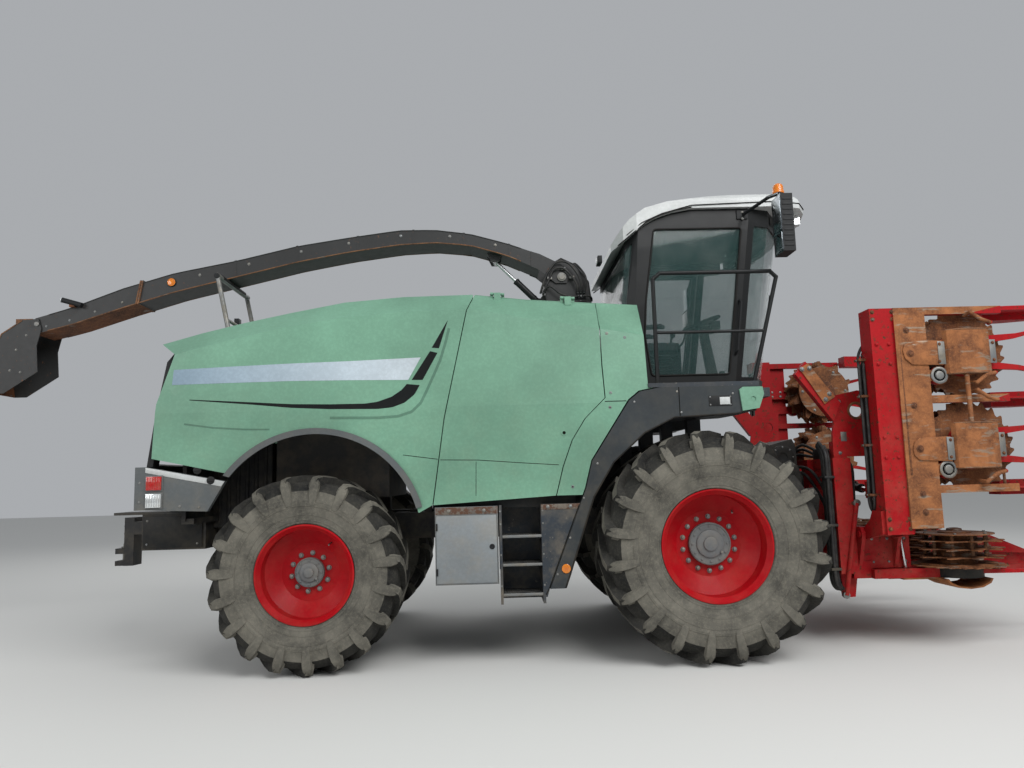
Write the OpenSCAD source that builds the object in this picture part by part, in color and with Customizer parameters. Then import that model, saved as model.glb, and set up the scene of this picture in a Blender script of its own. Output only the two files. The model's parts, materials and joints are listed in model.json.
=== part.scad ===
// Self-propelled forage harvester with a folded rotary maize header.
// Millimetres. +X is forward, +Y is the machine's left, +Z is up, z = 0 is the ground.
// Shapes are drawn with x = 0 at the front axle, and put() moves them so that
// the middle of the whole length lies at x = 0.

/* [Wheels] */
// distance between the front and the rear axle
wheelbase = 3190; // [2900:10:3500]
// distance between the wheel centres across the machine
track = 2500; // [2400:10:2600]
// front tyre radius at the tips of its lugs
front_tyre_r = 900; // [850:5:950]
// front tyre width
front_tyre_w = 800; // [650:10:800]
// rear tyre radius at the tips of its lugs
rear_tyre_r = 765; // [700:5:800]
// rear tyre width
rear_tyre_w = 600; // [480:10:620]
// lugs on each half of a front tyre
front_lugs = 20; // [14:1:22]
// lugs on each half of a rear tyre
rear_lugs = 19; // [14:1:22]

/* [Body] */
// half width of the body sides
side_y = 1400; // [1300:10:1450]
// thickness of the body panels
skin_t = 24; // [15:1:40]
// gap between neighbouring body panels
panel_gap = 8; // [6:1:15]

/* [Cab] */
// half width of the cab at its side glass
cab_y = 900; // [800:10:950]
// height of the cab floor
floor_z = 2200; // [2100:10:2300]
// height of the top of the side glass
glass_top_z = 3715; // [3600:5:3800]
// thickness of the glass
glass_t = 8; // [5:1:12]

/* [Spout] */
// inside width of the spout chute
chute_w = 330; // [260:10:420]
// wall thickness of the chute
chute_t = 8; // [5:1:14]

/* [Header] */
// distance between two neighbouring rows
row_pitch = 750; // [740:2:760]
// radius of a header rotor at its knife tips
rotor_r = 368; // [330:2:368]
// height of the wing fold hinge
fold_z = 925; // [900:5:960]
// distance from the centre line to the wing fold hinge
fold_y = 1175; // [1160:5:1190]

/* [Hidden] */
x_front = 3300;
x_rear = -6555;
x_shift = -(x_front + x_rear) / 2;
seat = 0.3;
rear_x = -wheelbase;
wheel_y = track / 2;
$fn = 48;

// moves a piece drawn from the front axle into the shared frame
module put() translate([x_shift, 0, 0]) children();

// the piece and its mirror image on the other side
module both() {
  children();
  mirror([0, 1, 0]) children();
}

// a box from its two corners
module box(x0, x1, y0, y1, z0, z1) translate([x0, y0, z0]) cube([x1 - x0, y1 - y0, z1 - z0]);

// an outline in x and z, as thick as y0 to y1
module side_plate(pts, y0, y1) translate([0, y1, 0]) rotate([90, 0, 0]) linear_extrude(y1 - y0) polygon(pts);

// an outline in y and z, as thick as x0 to x1
module cross_plate(pts, x0, x1) translate([x0, 0, 0]) rotate([90, 0, 90]) linear_extrude(x1 - x0) polygon(pts);

// an outline in x and y, as thick as z0 to z1
module flat_plate(pts, z0, z1) translate([0, 0, z0]) linear_extrude(z1 - z0) polygon(pts);

// a round bar from p to q
module bar(p, q, r) {
  d = q - p;
  translate(p) rotate([0, acos(d[2] / norm(d)), atan2(d[1], d[0])]) cylinder(r = r, h = norm(d));
}

// a bent round tube through the points
module tube(pts, r) {
  for (i = [0 : len(pts) - 2]) bar(pts[i], pts[i + 1], r);
  for (i = [1 : 1 : len(pts) - 2]) translate(pts[i]) sphere(r = r + 1);
}

// a cylinder lying across the machine, from y0 to y1
module cross_pin(x, z, r, y0, y1) translate([x, y0, z]) rotate([-90, 0, 0]) cylinder(r = r, h = y1 - y0);

// a closed body through rings of points, each [x, [[y, z], ...]], in order along x
module loft(rings) {
  n = len(rings[0][1]);
  m = len(rings);
  pts = [for (r = rings) for (p = r[1]) [r[0], p[0], p[1]]];
  first = [for (j = [0 : n - 1]) j];
  last = [for (j = [n - 1 : -1 : 0]) (m - 1) * n + j];
  a = [for (i = [0 : m - 2]) for (j = [0 : n - 1]) [i * n + j, (i + 1) * n + j, (i + 1) * n + (j + 1) % n]];
  b = [for (i = [0 : m - 2]) for (j = [0 : n - 1]) [i * n + j, (i + 1) * n + (j + 1) % n, i * n + (j + 1) % n]];
  polyhedron(pts, concat([first, last], a, b));
}

// body skin
// one row for each section: x, height of the top edge, height of the shoulder crease
SKIN = [
  [-4500, 2650, 2475],
  [-4150, 2745, 2570],
  [-3800, 2825, 2655],
  [-3400, 2905, 2740],
  [-2950, 2985, 2808],
  [-2450, 3022, 2845],
  [-1850, 3030, 2855],
  [-1400, 2978, 2770],
  [-400, 2905, 2600]
];
top_y = 1150;
crease_y = 1350;
skin_bottom = 1270;

// ring of the skin at one row, drawn in by t
function skin_ring(s, t) = [s[0], [
  [side_y - t, skin_bottom - 100],
  [side_y - t, 2050],
  [crease_y - t, s[2] - t * 0.6],
  [top_y - t, s[1] - t],
  [0, s[1] + 45 - t],
  [-top_y + t, s[1] - t],
  [-crease_y + t, s[2] - t * 0.6],
  [-side_y + t, 2050],
  [-side_y + t, skin_bottom - 100]
]];

// ring of the skin at any x, drawn in by t
function skin_row(x, i = 0) = x <= SKIN[i + 1][0] || i == len(SKIN) - 2
  ? let (k = (x - SKIN[i][0]) / (SKIN[i + 1][0] - SKIN[i][0])) SKIN[i] + k * (SKIN[i + 1] - SKIN[i])
  : skin_row(x, i + 1);

module skin() {
  difference() {
    loft([for (s = SKIN) skin_ring(s, 0)]);
    loft([for (i = [0 : len(SKIN) - 1]) skin_ring(SKIN[i] + (i == 0 ? [-9, 0, 0] : i == len(SKIN) - 1 ? [9, 0, 0] : [0, 0, 0]), skin_t)]);
    box(-4600, -300, -side_y - 50, side_y + 50, skin_bottom - 300, skin_bottom - 60);
  }
}

// the seam between hood and side door, top to bottom, as [x, z]
SEAM_A = [[-1850, 3200], [-1850, 3000], [-1905, 2850], [-2100, 1955], [-2200, 1265]];
// the seam between side door and front panel, top to bottom, as [x, z]
SEAM_B = [[-820, 3200], [-812, 2360], [-800, 2090], [-970, 1925], [-1080, 1755], [-1160, 1545], [-1222, 1315]];

// moves each [x, z] point by d along x
function shift_x(pts, d) = [for (p = pts) [p[0] + d, p[1]]];
// the points in the other order
function flip(pts) = [for (i = [len(pts) - 1 : -1 : 0]) pts[i]];

arch_x = rear_x + 45;
arch_r = 850;
arch_z = 1010;

module rear_hood() color([0.49, 0.63, 0.52]) put() {
  difference() {
    intersection() {
      skin();
      side_plate(concat([[-4520, 3200], [-4480, 2660], [-4290, 2535], [-4410, 2125], [-4430, 1690], [-3820, 1555], [-3700, 1500], [-2330, 1200]],
        flip(shift_x(SEAM_A, -panel_gap))), -2000, 2000);
    }
    cross_pin(arch_x, arch_z, arch_r, -2000, 2000);
  }
}

// the side doors hinge along their top seam, which drops towards the front
hinge_y = top_y + 4;
hinge_slope = atan((SKIN[6][1] - SKIN[8][1]) / (SKIN[8][0] - SKIN[6][0]) * 0.9);
HINGES = [-1650, -1050];
function hinge_z(x) = SKIN[6][1] + 14 - (x - SKIN[6][0]) * tan(hinge_slope);
// a cylinder on the hinge line, centred at x
module on_hinge(x, r, l) translate([x, hinge_y, hinge_z(x)]) rotate([0, 90 + hinge_slope, 0]) translate([0, 0, -l / 2]) cylinder(r = r, h = l);

module side_door(s) mirror([0, s > 0 ? 0 : 1, 0]) difference() {
  union() {
    intersection() {
      skin();
      side_plate(concat(SEAM_A, [[-2200, 1265], [-1222, 1315]], flip(SEAM_B)), top_y + 14, 2000);
    }
    for (x = HINGES) {
      on_hinge(x, 13, 60);
      box(x - 28, x + 28, hinge_y + 6, hinge_y + 40, skin_row(x)[1] - 40, hinge_z(x) + 5);
    }
  }
  for (x = HINGES) on_hinge(x, 8.3, 80);
}
module side_door_left() color([0.49, 0.63, 0.52]) put() side_door(1);
module side_door_right() color([0.49, 0.63, 0.52]) put() side_door(-1);

module front_side_panels() color([0.49, 0.63, 0.52]) put() {
  difference() {
    union() {
      intersection() {
        skin();
        side_plate(concat(flip(shift_x(SEAM_B, panel_gap)), [[-460, 3200], [-440, 2165], [-395, 2165], [-518, 2143], [-608, 2073], [-928, 1590], [-988, 1370], [-1010, 1315]]), -2000, 2000);
      }
      intersection() {
        skin();
        box(-1842, -805, -top_y + 6, top_y - 6, 2700, 3200);
      }
    }
    // clear of the cab and of the crop tower
    box(-700, 0, -930, 930, 2100, 3300);
    box(-1145, -715, -212, 212, 2600, 3300);
  }
  // cover on the front end of the fender
  both() difference() {
    side_plate([[318, 1955], [300, 2130], [330, 2150], [490, 2150], [500, 2090], [455, 1975]], side_y + seat, side_y + 16);
    cross_pin(410, 2050, 22, side_y + 8, side_y + 40);
  }
  both() for (x = HINGES) {
    on_hinge(x, 8, 120);
    for (d = [-47, 47]) {
      on_hinge(x + d, 13, 28);
      box(x + d - 13, x + d + 13, hinge_y - 40, hinge_y - 4, skin_row(x + d)[1] - 15, hinge_z(x + d) + 4);
    }
  }
}

// rear end
module rear_grille() color([0.13, 0.13, 0.14]) put() {
  r = skin_ring(skin_row(-4440), skin_t + 2)[1];
  intersection() {
    cross_plate(r, -4600, -4200);
    difference() {
      side_plate([[-4445, 1530 + seat], [-4280, 2620], [-4330, 2700], [-4490, 1530 + seat]], -1500, 1500);
      box(-4600, -4200, -1260, 1260, 1640, 2430);
      both() box(-4600, -4200, side_y - 60 - seat, 1500, 1500, 1625 + seat);
    }
  }
  intersection() {
    for (z = [1640 : 66 : 2420]) translate([-4470 + (z - 1530) * 0.151, 0, z]) rotate([0, 30, 0]) box(-22, 22, -1265, 1265, -4, 4);
    box(-4600, -4200, -1265, 1265, 1600, 2460);
  }
  for (y = [-630, 0, 630]) side_plate([[-4440, 1600], [-4310, 2460], [-4335, 2460], [-4465, 1600]], y - 12, y + 12);
}

module rear_bumper() color([0.62, 0.64, 0.64]) put() {
  both() side_plate([[-4480, 1625], [-4480, 1285], [-3985, 1265], [-3850, 1500]], side_y - 60, side_y - 10);
  box(-4560, -4480 - seat, -side_y + 10, side_y - 10, 1285, 1530);
  both() box(-4560, -4470, side_y - 60, side_y - 10, 1285, 1625);
  // trim lip around the wheel arch
  both() intersection() {
    difference() {
      cross_pin(arch_x, arch_z, arch_r + 42, side_y + seat, side_y + 18);
      cross_pin(arch_x, arch_z, arch_r - 6, side_y - 5, side_y + 30);
    }
    side_plate([[-3865, 1545], [-3865, 2000], [-2200, 2000], [-2290, 1255], [-2420, 1225], [-3100, 1300]], 1000, 2000);
  }
}

module tow_hitch() color([0.16, 0.17, 0.18]) put() {
  difference() {
    union() {
      box(-5240, -4350, -90, 90, 1030, 1150);
      box(-4352, -4350 - seat, -200, 200, 960, 1170);
      box(-5240, -5150, -90, 90, 740, 1190);
      box(-5330, -5150, -70, 70, 740, 900);
    }
    translate([-5270, 0, 700]) cylinder(r = 20, h = 400);
    box(-5340, -5235, -100, 100, 785, 850);
  }
  // ballast boxes with a ledge on both sides
  both() {
    box(-4760, -4215, 490 + seat, 790, 930, 1235);
    box(-5000, -4215, 490 + seat, 800, 1234, 1256);
  }
}

// frame, axles, wheels
frame_y = 430;
front_rail_y = 560;
frame_z0 = 950;
frame_z1 = 1180;

module main_frame() color([0.14, 0.15, 0.16]) put() {
  both() {
    box(-4350, -1500, frame_y - 60, frame_y + 60, frame_z0, frame_z1);
    box(-1700, 200, front_rail_y - 60, front_rail_y + 60, frame_z0, frame_z1);
    box(-4480, -4350, frame_y - 60, frame_y + 60, frame_z0, 1500);
    // carriers of the hood, the boxes, the steps and the fender struts: x, y of both ends, z
    box(-2350, -2290, frame_y - 50, frame_y + 50, frame_z1 - 10, 1560);
    box(-2350, -2290, frame_y, side_y - skin_t - seat, 1490, 1560);
    box(-2000, -1880, frame_y, 1020 - seat, 1050, 1150);
    box(-1560, -1480, frame_y, 1040 - seat, 1060, 1150);
    box(-1110, -1050, front_rail_y, 1180 - seat, 1060, 1150);
  }
  for (x = [-4350, -3600, -2700, -1900, -1700, -1040]) box(x, x + 120, -frame_y - 5, frame_y + 5, frame_z0 + 20, frame_z1 - 20);
  box(-1700, -1500, -front_rail_y, front_rail_y, frame_z0, frame_z1);
  box(-1040, -980, -front_rail_y, front_rail_y, frame_z0, frame_z0 + 60);
  box(rear_x - 150, rear_x + 150, -frame_y, frame_y, frame_z0 + 10, frame_z1 - 30);
}

module engine_block() color([0.25, 0.26, 0.27]) put() {
  box(-3650, -2650, -650, 650, 1330, 2350);
  both() for (x = [-3500, -2900]) box(x, x + 120, frame_y - 50, frame_y + 50, frame_z1 + seat, 1340);
}

module front_axle() color([0.16, 0.17, 0.18]) put() {
  translate([0, 0, front_tyre_r]) {
    box(-170, 170, -760, 760, -170, frame_z0 - seat - front_tyre_r);
    both() {
      translate([0, 740, 0]) rotate([-90, 0, 0]) cylinder(r = 250, h = 190);
      translate([0, 900, 0]) rotate([-90, 0, 0]) cylinder(r = 150, h = wheel_y + 9 - 900);
      translate([0, 900, 0]) rotate([-90, 0, 0]) cylinder(r = 60, h = wheel_y + 60 - 900);
    }
  }
}

king_y = 840;
module rear_axle_beam() color([0.16, 0.17, 0.18]) put() {
  translate([rear_x, 0, rear_tyre_r]) {
    box(-110, 110, -640, 640, -90, 110);
    box(-90, 90, -110, 110, 100, frame_z0 + 10 - rear_tyre_r - seat);
    both() {
      box(-90, 90, 690, king_y - 20, 90, 140);
      box(-90, 90, 690, king_y - 20, -140, -90);
      box(-90, 90, 620, 700, -140, 140);
      translate([0, king_y, 90]) cylinder(r = 90, h = 50);
      translate([0, king_y, -140]) cylinder(r = 90, h = 50);
      translate([0, king_y, -145]) cylinder(r = 35, h = 290);
    }
  }
}

arm_x = -230;
arm_y = king_y;
module steering_knuckle_left() color([0.2, 0.21, 0.22]) put() knuckle();
module steering_knuckle_right() color([0.2, 0.21, 0.22]) put() mirror([0, 1, 0]) knuckle();
module knuckle() translate([rear_x, 0, rear_tyre_r]) {
  difference() {
    union() {
      translate([0, king_y, -84]) cylinder(r = 85, h = 168);
      translate([0, king_y, 0]) rotate([-90, 0, 0]) cylinder(r = 75, h = wheel_y - 11 - king_y);
      translate([0, king_y, 0]) rotate([-90, 0, 0]) cylinder(r = 50, h = wheel_y + 39 - king_y);
      translate([arm_x, arm_y, -60]) cylinder(r = 45, h = 40);
      flat_plate([[-60, king_y - 40], [-60, king_y + 30], [arm_x, arm_y + 40], [arm_x, arm_y - 40]], -60, -20);
    }
    translate([0, king_y, -200]) cylinder(r = 35.5, h = 400);
    translate([arm_x, arm_y, -100]) cylinder(r = 16.5, h = 100);
  }
}

module tie_rod() color([0.3, 0.31, 0.32]) put() translate([rear_x + arm_x, 0, rear_tyre_r]) {
  rotate([90, 0, 0]) translate([0, -90, -arm_y]) cylinder(r = 22, h = 2 * arm_y);
  both() {
    translate([0, arm_y, -118]) cylinder(r = 38, h = 55);
    translate([0, arm_y, -100]) cylinder(r = 16, h = 82);
  }
}

// tyre and rim are drawn around z, with +z pointing away from the machine
module at_wheel(x, r) translate([x, wheel_y, r]) rotate([-90, 0, 0]) children();

module tyre(r, w, rim_r, n, lug_h, rf, hw) {
  h = w / 2;
  c = r - lug_h;
  rotate_extrude($fn = 40) polygon([
    [rim_r, 33 - hw], [rf, 15 - hw], [rf + 8, -h * 0.87], [r * 0.72, -h * 0.985], [r * 0.84, -h * 0.96], [c * 0.985, -h * 0.72], [c, -h * 0.3],
    [c, h * 0.3], [c * 0.985, h * 0.72], [r * 0.84, h * 0.96], [r * 0.72, h * 0.985], [rf + 8, h * 0.87], [rf, hw - 15], [rim_r, hw - 33]]);
  for (m = [0, 1]) mirror([0, 0, m]) for (i = [0 : n - 1]) rotate([0, 0, (i + m * 0.5) * 360 / n]) lug(r, h, c);
}

// half length of a lug's slanted run from its middle, and its slant
lug_slant = 38;
lug_t = 62;

// outer edge of a lug at the distance q along its run, kept inside the tyre radius r
function lug_top(r, q) = sqrt(r * r - pow(abs(q) * sin(lug_slant) + lug_t / 2, 2));

// one lug: a slanted bar from the middle of the tread over the shoulder
module lug(r, h, c) {
  m = h * 0.45;
  e = (h - m - lug_t / 2 * sin(lug_slant)) / cos(lug_slant);
  g = (m + 12) / cos(lug_slant);
  translate([0, 0, m]) rotate([lug_slant, 0, 0]) translate([0, lug_t / 2, 0]) rotate([90, 0, 0]) linear_extrude(lug_t) polygon([
    [c - 30, -g], [lug_top(r, g), -g], [lug_top(r, 0), 0], [lug_top(r, e * 0.6), e * 0.6], [lug_top(r, e) - 12, e * 0.9],
    [r * 0.9, e], [r * 0.8, e * 0.97], [r * 0.79, e * 0.8], [c - 60, e * 0.5]]);
}

module front_tyre() at_wheel(0, front_tyre_r) tyre(front_tyre_r, front_tyre_w, 406 + seat, front_lugs, 50, 437, 343);
module rear_tyre() at_wheel(rear_x, rear_tyre_r) tyre(rear_tyre_r, rear_tyre_w, 356 + seat, rear_lugs, 44, 384, 267);
module front_tyre_left() color([0.23, 0.21, 0.2]) put() front_tyre();
module front_tyre_right() color([0.23, 0.21, 0.2]) put() mirror([0, 1, 0]) front_tyre();
module rear_tyre_left() color([0.23, 0.21, 0.2]) put() rear_tyre();
module rear_tyre_right() color([0.23, 0.21, 0.2]) put() mirror([0, 1, 0]) rear_tyre();

// bead seat radius, flange radius, half width, height of the disc's outer edge, height of its middle,
// hub radius, spigot radius, spigot end
module rim(rs, rf, hw, z1, z2, hub_r, spigot_r, spigot_z) {
  difference() {
    union() {
      rotate_extrude($fn = 64) polygon([
        [rf, hw], [rf, hw - 14], [rs, hw - 32], [rs, 32 - hw], [rf, 14 - hw], [rf, -hw], [rf - 12, -hw], [rs - 14, 36 - hw],
        [rs - 14, z1 - 10], [rs * 0.62, z2 - 10], [hub_r - 20, z2 - 10], [hub_r - 20, z2 + 12], [rs * 0.64, z2 + 12],
        [rs - 14, z1 + 14], [rs - 14, hw - 36], [rf - 12, hw]]);
      translate([0, 0, spigot_z - 50]) cylinder(r = hub_r, h = z2 - spigot_z + 105);
    }
    translate([0, 0, spigot_z - 60]) cylinder(r = spigot_r + 0.5, h = 61);
  }
}
module front_rim() at_wheel(0, front_tyre_r) rim(406, 437, 343, 150, 60, 168, 60, 60);
module rear_rim() at_wheel(rear_x, rear_tyre_r) rim(356, 384, 267, 110, 40, 115, 50, 40);
module front_rim_left() color([0.68, 0.06, 0.07]) put() front_rim();
module front_rim_right() color([0.68, 0.06, 0.07]) put() mirror([0, 1, 0]) front_rim();
module rear_rim_left() color([0.68, 0.06, 0.07]) put() rear_rim();
module rear_rim_right() color([0.68, 0.06, 0.07]) put() mirror([0, 1, 0]) rear_rim();

// lower sides
module front_fenders() color([0.24, 0.25, 0.26]) put() {
  both() {
    difference() {
      side_plate([[-1290, 590], [-980, 1365], [-920, 1585], [-600, 2065], [-510, 2135], [-340, 2165], [470, 2165], [500, 2090],
        [430, 1960], [270, 1935], [-240, 1915], [-490, 1795], [-750, 1565], [-920, 1295], [-1130, 700], [-1170, 590]], 900, side_y);
      box(-1400, 600, 850, side_y - 14, 500, 1200);
    }
    side_plate([[-1290, 590], [-1050, 1200], [-960, 1200], [-1170, 590]], 1180, side_y - 13);
  }
}

module side_boxes() color([0.36, 0.38, 0.39]) put() both() {
  box(-2190, -1690, 1020, 1395, 640, 1245);
  box(-2100, -1800, 950, 1021, 900, 1050 - seat);
}

module side_steps() both() {
  for (x = [-1680, -1345]) box(x, x + 20, 1060, 1395, 480, 1250);
  for (z = [560, 790, 1010]) box(-1661, -1344, 1080, 1395, z - 20, z);
  box(-1680, -1325, 1040, 1061, 480, 1250);
  box(-1326, -1300, 1060, 1380, 640, 1180);
}

// steps on both sides, and the ladder to the platform on the left
module access_steps() color([0.2, 0.23, 0.26]) put() {
  side_steps();
  // apron plate between the right steps and the front wheel
  side_plate([[-1346, 1250], [-1346, 529], [-1312, 529], [-1295, 590], [-1031, 1250]], -1395, -1383);
  ladder();
}

module ladder() {
  // rows: x of the tread's rear edge, height of the tread
  for (t = [[-1330, 500], [-1250, 830], [-1190, 1160], [-1090, 1490], [-960, 1820]]) box(t[0], t[0] + 240, side_y + 25, 1630, t[1] - 25, t[1]);
  for (y = [side_y + seat, 1630]) side_plate([[-1335, 470], [-1190, 1190], [-1085, 1520], [-770, 2100], [-640, 2100], [-820, 1650], [-940, 1190], [-1090, 470]], y, y + 16);
  box(-770, -640, side_y + seat, 1646, 2100, 2140);
}

// cab
module cab_platform() color([0.2, 0.21, 0.22]) put() {
  difference() {
    box(-560, 740, -890, 890, 2120, floor_z - seat);
    box(-620, -420, -300, 300, 2000, 2300);
  }
  both() box(-440, 470, 880, side_y, 2165 + seat, floor_z - seat);
  both() for (x = [-380, 60]) box(x, x + 120, front_rail_y - 50, front_rail_y + 50, frame_z1 + seat, 2121);
}

// plan of the cab at its floor and at the top of its glass, right half, rear to front
function cab_plan(k) = [[-630 + 170 * k, -cab_y + 90], [-470 + 110 * k, -cab_y], [430 + 215 * k, -cab_y],
  [640 + 215 * k, -cab_y + 100 - 20 * k], [800 + 255 * k, -500], [850 + 280 * k, -170]];
// the same plan, closed over both sides and drawn in by t
function inset(p, t) = [p[0] + (p[0] < 0 ? t : -t) * (abs(p[1]) < cab_y - 95 || p[0] < -400 ? 1 : 0.2), p[1] + (p[1] < 0 ? t : -t)];
function cab_ring(k, t) = let (h = [for (p = cab_plan(k)) inset(p, t)]) concat(h, [for (i = [len(h) - 1 : -1 : 0]) [h[i][0], -h[i][1]]]);

// a closed body through level rings, each [z, [[x, y], ...]]
module loft_up(rings) rotate([0, -90, 0]) loft([for (r = rings) [r[0], [for (p = r[1]) [p[1], -p[0]]]]]);

module cab_shell(t0, t1) difference() {
  loft_up([[floor_z, cab_ring(0, t0)], [glass_top_z, cab_ring(1, t0)]]);
  loft_up([[floor_z - 1, cab_ring(0, t1)], [glass_top_z + 1, cab_ring(1, t1)]]);
}

// outlines in x and z of the door opening, the side glass, the windscreen and the rear windows
DOOR = [[-262, 3705], [640, 3705], [432, 2275], [-345, 2275], [-392, 2685], [-368, 2995]];
SIDE_GLASS = [[-222, 3660], [576, 3660], [388, 2325], [-302, 2325], [-346, 2685], [-322, 2995]];
SCREEN = [[500, 2300], [702, 3680], [1500, 3680], [1300, 2300]];
REAR_GLASS = [[-900, 2960], [-900, 3430], [-560, 3430], [-412, 3550], [-492, 2960]];
// the roof shell's lower and upper line in x and z; it drops towards the rear
ROOF_LOW = [[-700, 3485], [-600, 3500], [-520, 3540], [-424, 3610], [-300, 3706], [-209, 3756], [-60, 3808], [120, 3840]];
ROOF_TOP = [[1400, 3865], [1230, 3930], [1130, 3990], [850, 3990], [500, 3975], [208, 3945], [-100, 3905], [-300, 3850], [-440, 3755], [-540, 3640], [-610, 3540], [-700, 3505]];
module above_roof_line(d) side_plate(concat([for (p = ROOF_LOW) [p[0], p[1] - d]], [[120, 4200], [-700, 4200]]), -1000, 1000);
// the outline scaled by k about its middle
function mid(p) = [for (a = [0, 1]) (max([for (q = p) q[a]]) + min([for (q = p) q[a]])) / 2];
function shrink(p, k) = [for (q = p) mid(p) + k * (q - mid(p))];

// the cab's window openings, scaled by k
module windows(k) {
  side_plate(shrink(SIDE_GLASS, k), -2000, -300);
  side_plate(shrink(SCREEN, k), -2000, 2000);
  side_plate(shrink(REAR_GLASS, k), -2000, 2000);
}

module cab_frame() color([0.12, 0.13, 0.14]) put() {
  difference() {
    union() {
      cab_shell(0, 60);
      loft_up([[floor_z, cab_ring(0, 20)], [floor_z + 50, cab_ring(0, 20)]]);
    }
    side_plate(DOOR, 300, 2000);
    windows(1);
    above_roof_line(seat);
  }
  difference() {
    loft_up([[glass_top_z, cab_ring(1, 0)], [3840 - seat, cab_ring(1, 0)]]);
    box(-330, 900, -780, 780, 3700, 3800);
    above_roof_line(seat);
  }
  for (z = [2500, 3250]) translate([door_x, door_y, z]) difference() {
    union() {
      cylinder(r = 14, h = 40);
      box(-16, -8, -23, 0, 0, 40);
      box(-16, 0, -9, 5, 0, 40);
    }
    translate([0, 0, 40]) cylinder(r = 20, h = 1);
  }
  for (z = [2500, 3250]) translate([door_x, door_y, z]) cylinder(r = 8, h = 90);
}
door_x = -372;
door_y = cab_y + 14;

module cab_roof() color([0.8, 0.82, 0.81]) put() intersection() {
  loft_up([for (r = [[3400, 0], [3900, 1], [3930, 9], [3955, 26], [3972, 50], [3985, 92]])
    [r[0], [for (p = [[-590, -740], [-500, -900], [-380, -940], [900, -950], [1130, -880], [1230, -720], [1300, -450], [1300, 450], [1230, 720], [1130, 880], [900, 950], [-380, 940], [-500, 900], [-590, 740]])
      [p[0] * (1 - r[1] / 1000), p[1] * (1 - r[1] / 900)]]]]);
  side_plate(concat(ROOF_LOW, [[1400, 3840]], ROOF_TOP), -1000, 1000);
}

module cab_glass() color([0.35, 0.45, 0.47, 0.4]) put() intersection() {
  cab_shell(14, 14 + glass_t);
  windows(0.9995);
}

module cab_door() color([0.12, 0.13, 0.14]) put() difference() {
  union() {
    difference() {
      side_plate(shrink(DOOR, 0.985), cab_y - 42, cab_y - 2);
      side_plate(SIDE_GLASS, cab_y - 60, cab_y + 20);
    }
    for (z = [2541, 3291]) {
      translate([door_x, door_y, z]) cylinder(r = 14, h = 40);
      box(door_x, door_x + 110, cab_y + 3, cab_y + 10, z, z + 40);
      box(door_x + 95, door_x + 110, cab_y - 3, cab_y + 4, z, z + 40);
    }
  }
  for (z = [2500, 3250]) translate([door_x, door_y, z]) cylinder(r = 8.3, h = 120);
}
module cab_door_glass() color([0.35, 0.45, 0.47, 0.4]) put()
  side_plate(shrink(SIDE_GLASS, 0.9995), cab_y - 30, cab_y - 30 + glass_t);

module operator_seat() color([0.15, 0.15, 0.16]) put() {
  box(-330, 150, -240, 240, 2620, 2740);
  side_plate([[-330, 2700], [-430, 3250], [-330, 3270], [-200, 2700]], -230, 230);
  box(-250, 80, -160, 160, floor_z + 50 + seat, 2621);
}

module steering_console() color([0.18, 0.19, 0.2]) put() {
  box(-200, 260, 290, 470, floor_z + 50 + seat, 2800);
  side_plate([[470, floor_z + 50 + seat], [570, floor_z + 50 + seat], [450, 2950], [385, 2930]], -45, 45);
  // steering wheel
  translate([410, 0, 2960]) rotate([0, -20, 0]) {
    rotate_extrude() translate([190, 0]) circle(r = 15, $fn = 8);
    translate([0, 0, -45]) cylinder(r = 70, h = 58);
    for (a = [30, 150, 270]) rotate([0, 0, a]) box(50, 190, -15, 15, -8, 5);
  }
}

module handrails() color([0.16, 0.17, 0.18]) put() {
  z = floor_z + 4;
  for (p = [[-350, -1350], [450, -1350], [452, 1345], [452, 960], [-412, 1345], [-412, 960]]) translate([p[0], p[1], floor_z + seat]) cylinder(r = 26, h = 8);
  tube([[-350, -1350, z], [-350, -1350, 3080], [-290, -1350, 3130], [640, -1350, 3130], [690, -1350, 3080], [450, -1350, z]], 17);
  bar([-350, -1350, 2625], [570, -1350, 2625], 13);
  tube([[452, 1345, z], [620, 1345, 3080], [620, 1290, 3130], [640, 1010, 3130], [640, 960, 3080], [452, 960, z]], 17);
  tube([[-412, 1345, z], [-412, 1345, 3080], [-412, 1290, 3130], [-412, 1010, 3130], [-412, 960, 3080], [-412, 960, z]], 17);
}

module mirrors() color([0.1, 0.1, 0.11]) put() both() {
  box(660, 760, 1440, 1640, 3220, 3700);
  box(540, 640, cab_y + seat, cab_y + 14, 3740, 3820);
  tube([[600, cab_y + 10, 3780], [690, 1300, 3790], [710, 1500, 3750], [710, 1520, 3690]], 15);
}

module lamps() color([0.9, 0.5, 0.1]) put() both() {
  // beacon
  translate([1040, 640, 3985 + seat]) rotate_extrude() polygon([[0, 0], [48, 0], [48, 10], [34, 16], [30, 66], [46, 78], [46, 85], [0, 85]]);
  translate([1040, 640, 4068]) rotate_extrude() polygon([[0, 0], [52, 0], [55, 6], [55, 20], [50, 26], [49, 66], [43, 84], [29, 96], [0, 100]]);
  // work lamps below the roof's front edge
  for (y = [330, 620]) box(1130, 1210, y - 60, y + 60, 3755, 3840 - seat);
  // tail lamps, red above clear
  for (z = [1420, 1310]) box(-4600, -4560 - seat, 1120, 1300, z, z + 90);
}

// spout
turret_x = -930;
turret_z = 3120;
lift_x = -1000;
lift_z = 3430;

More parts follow.
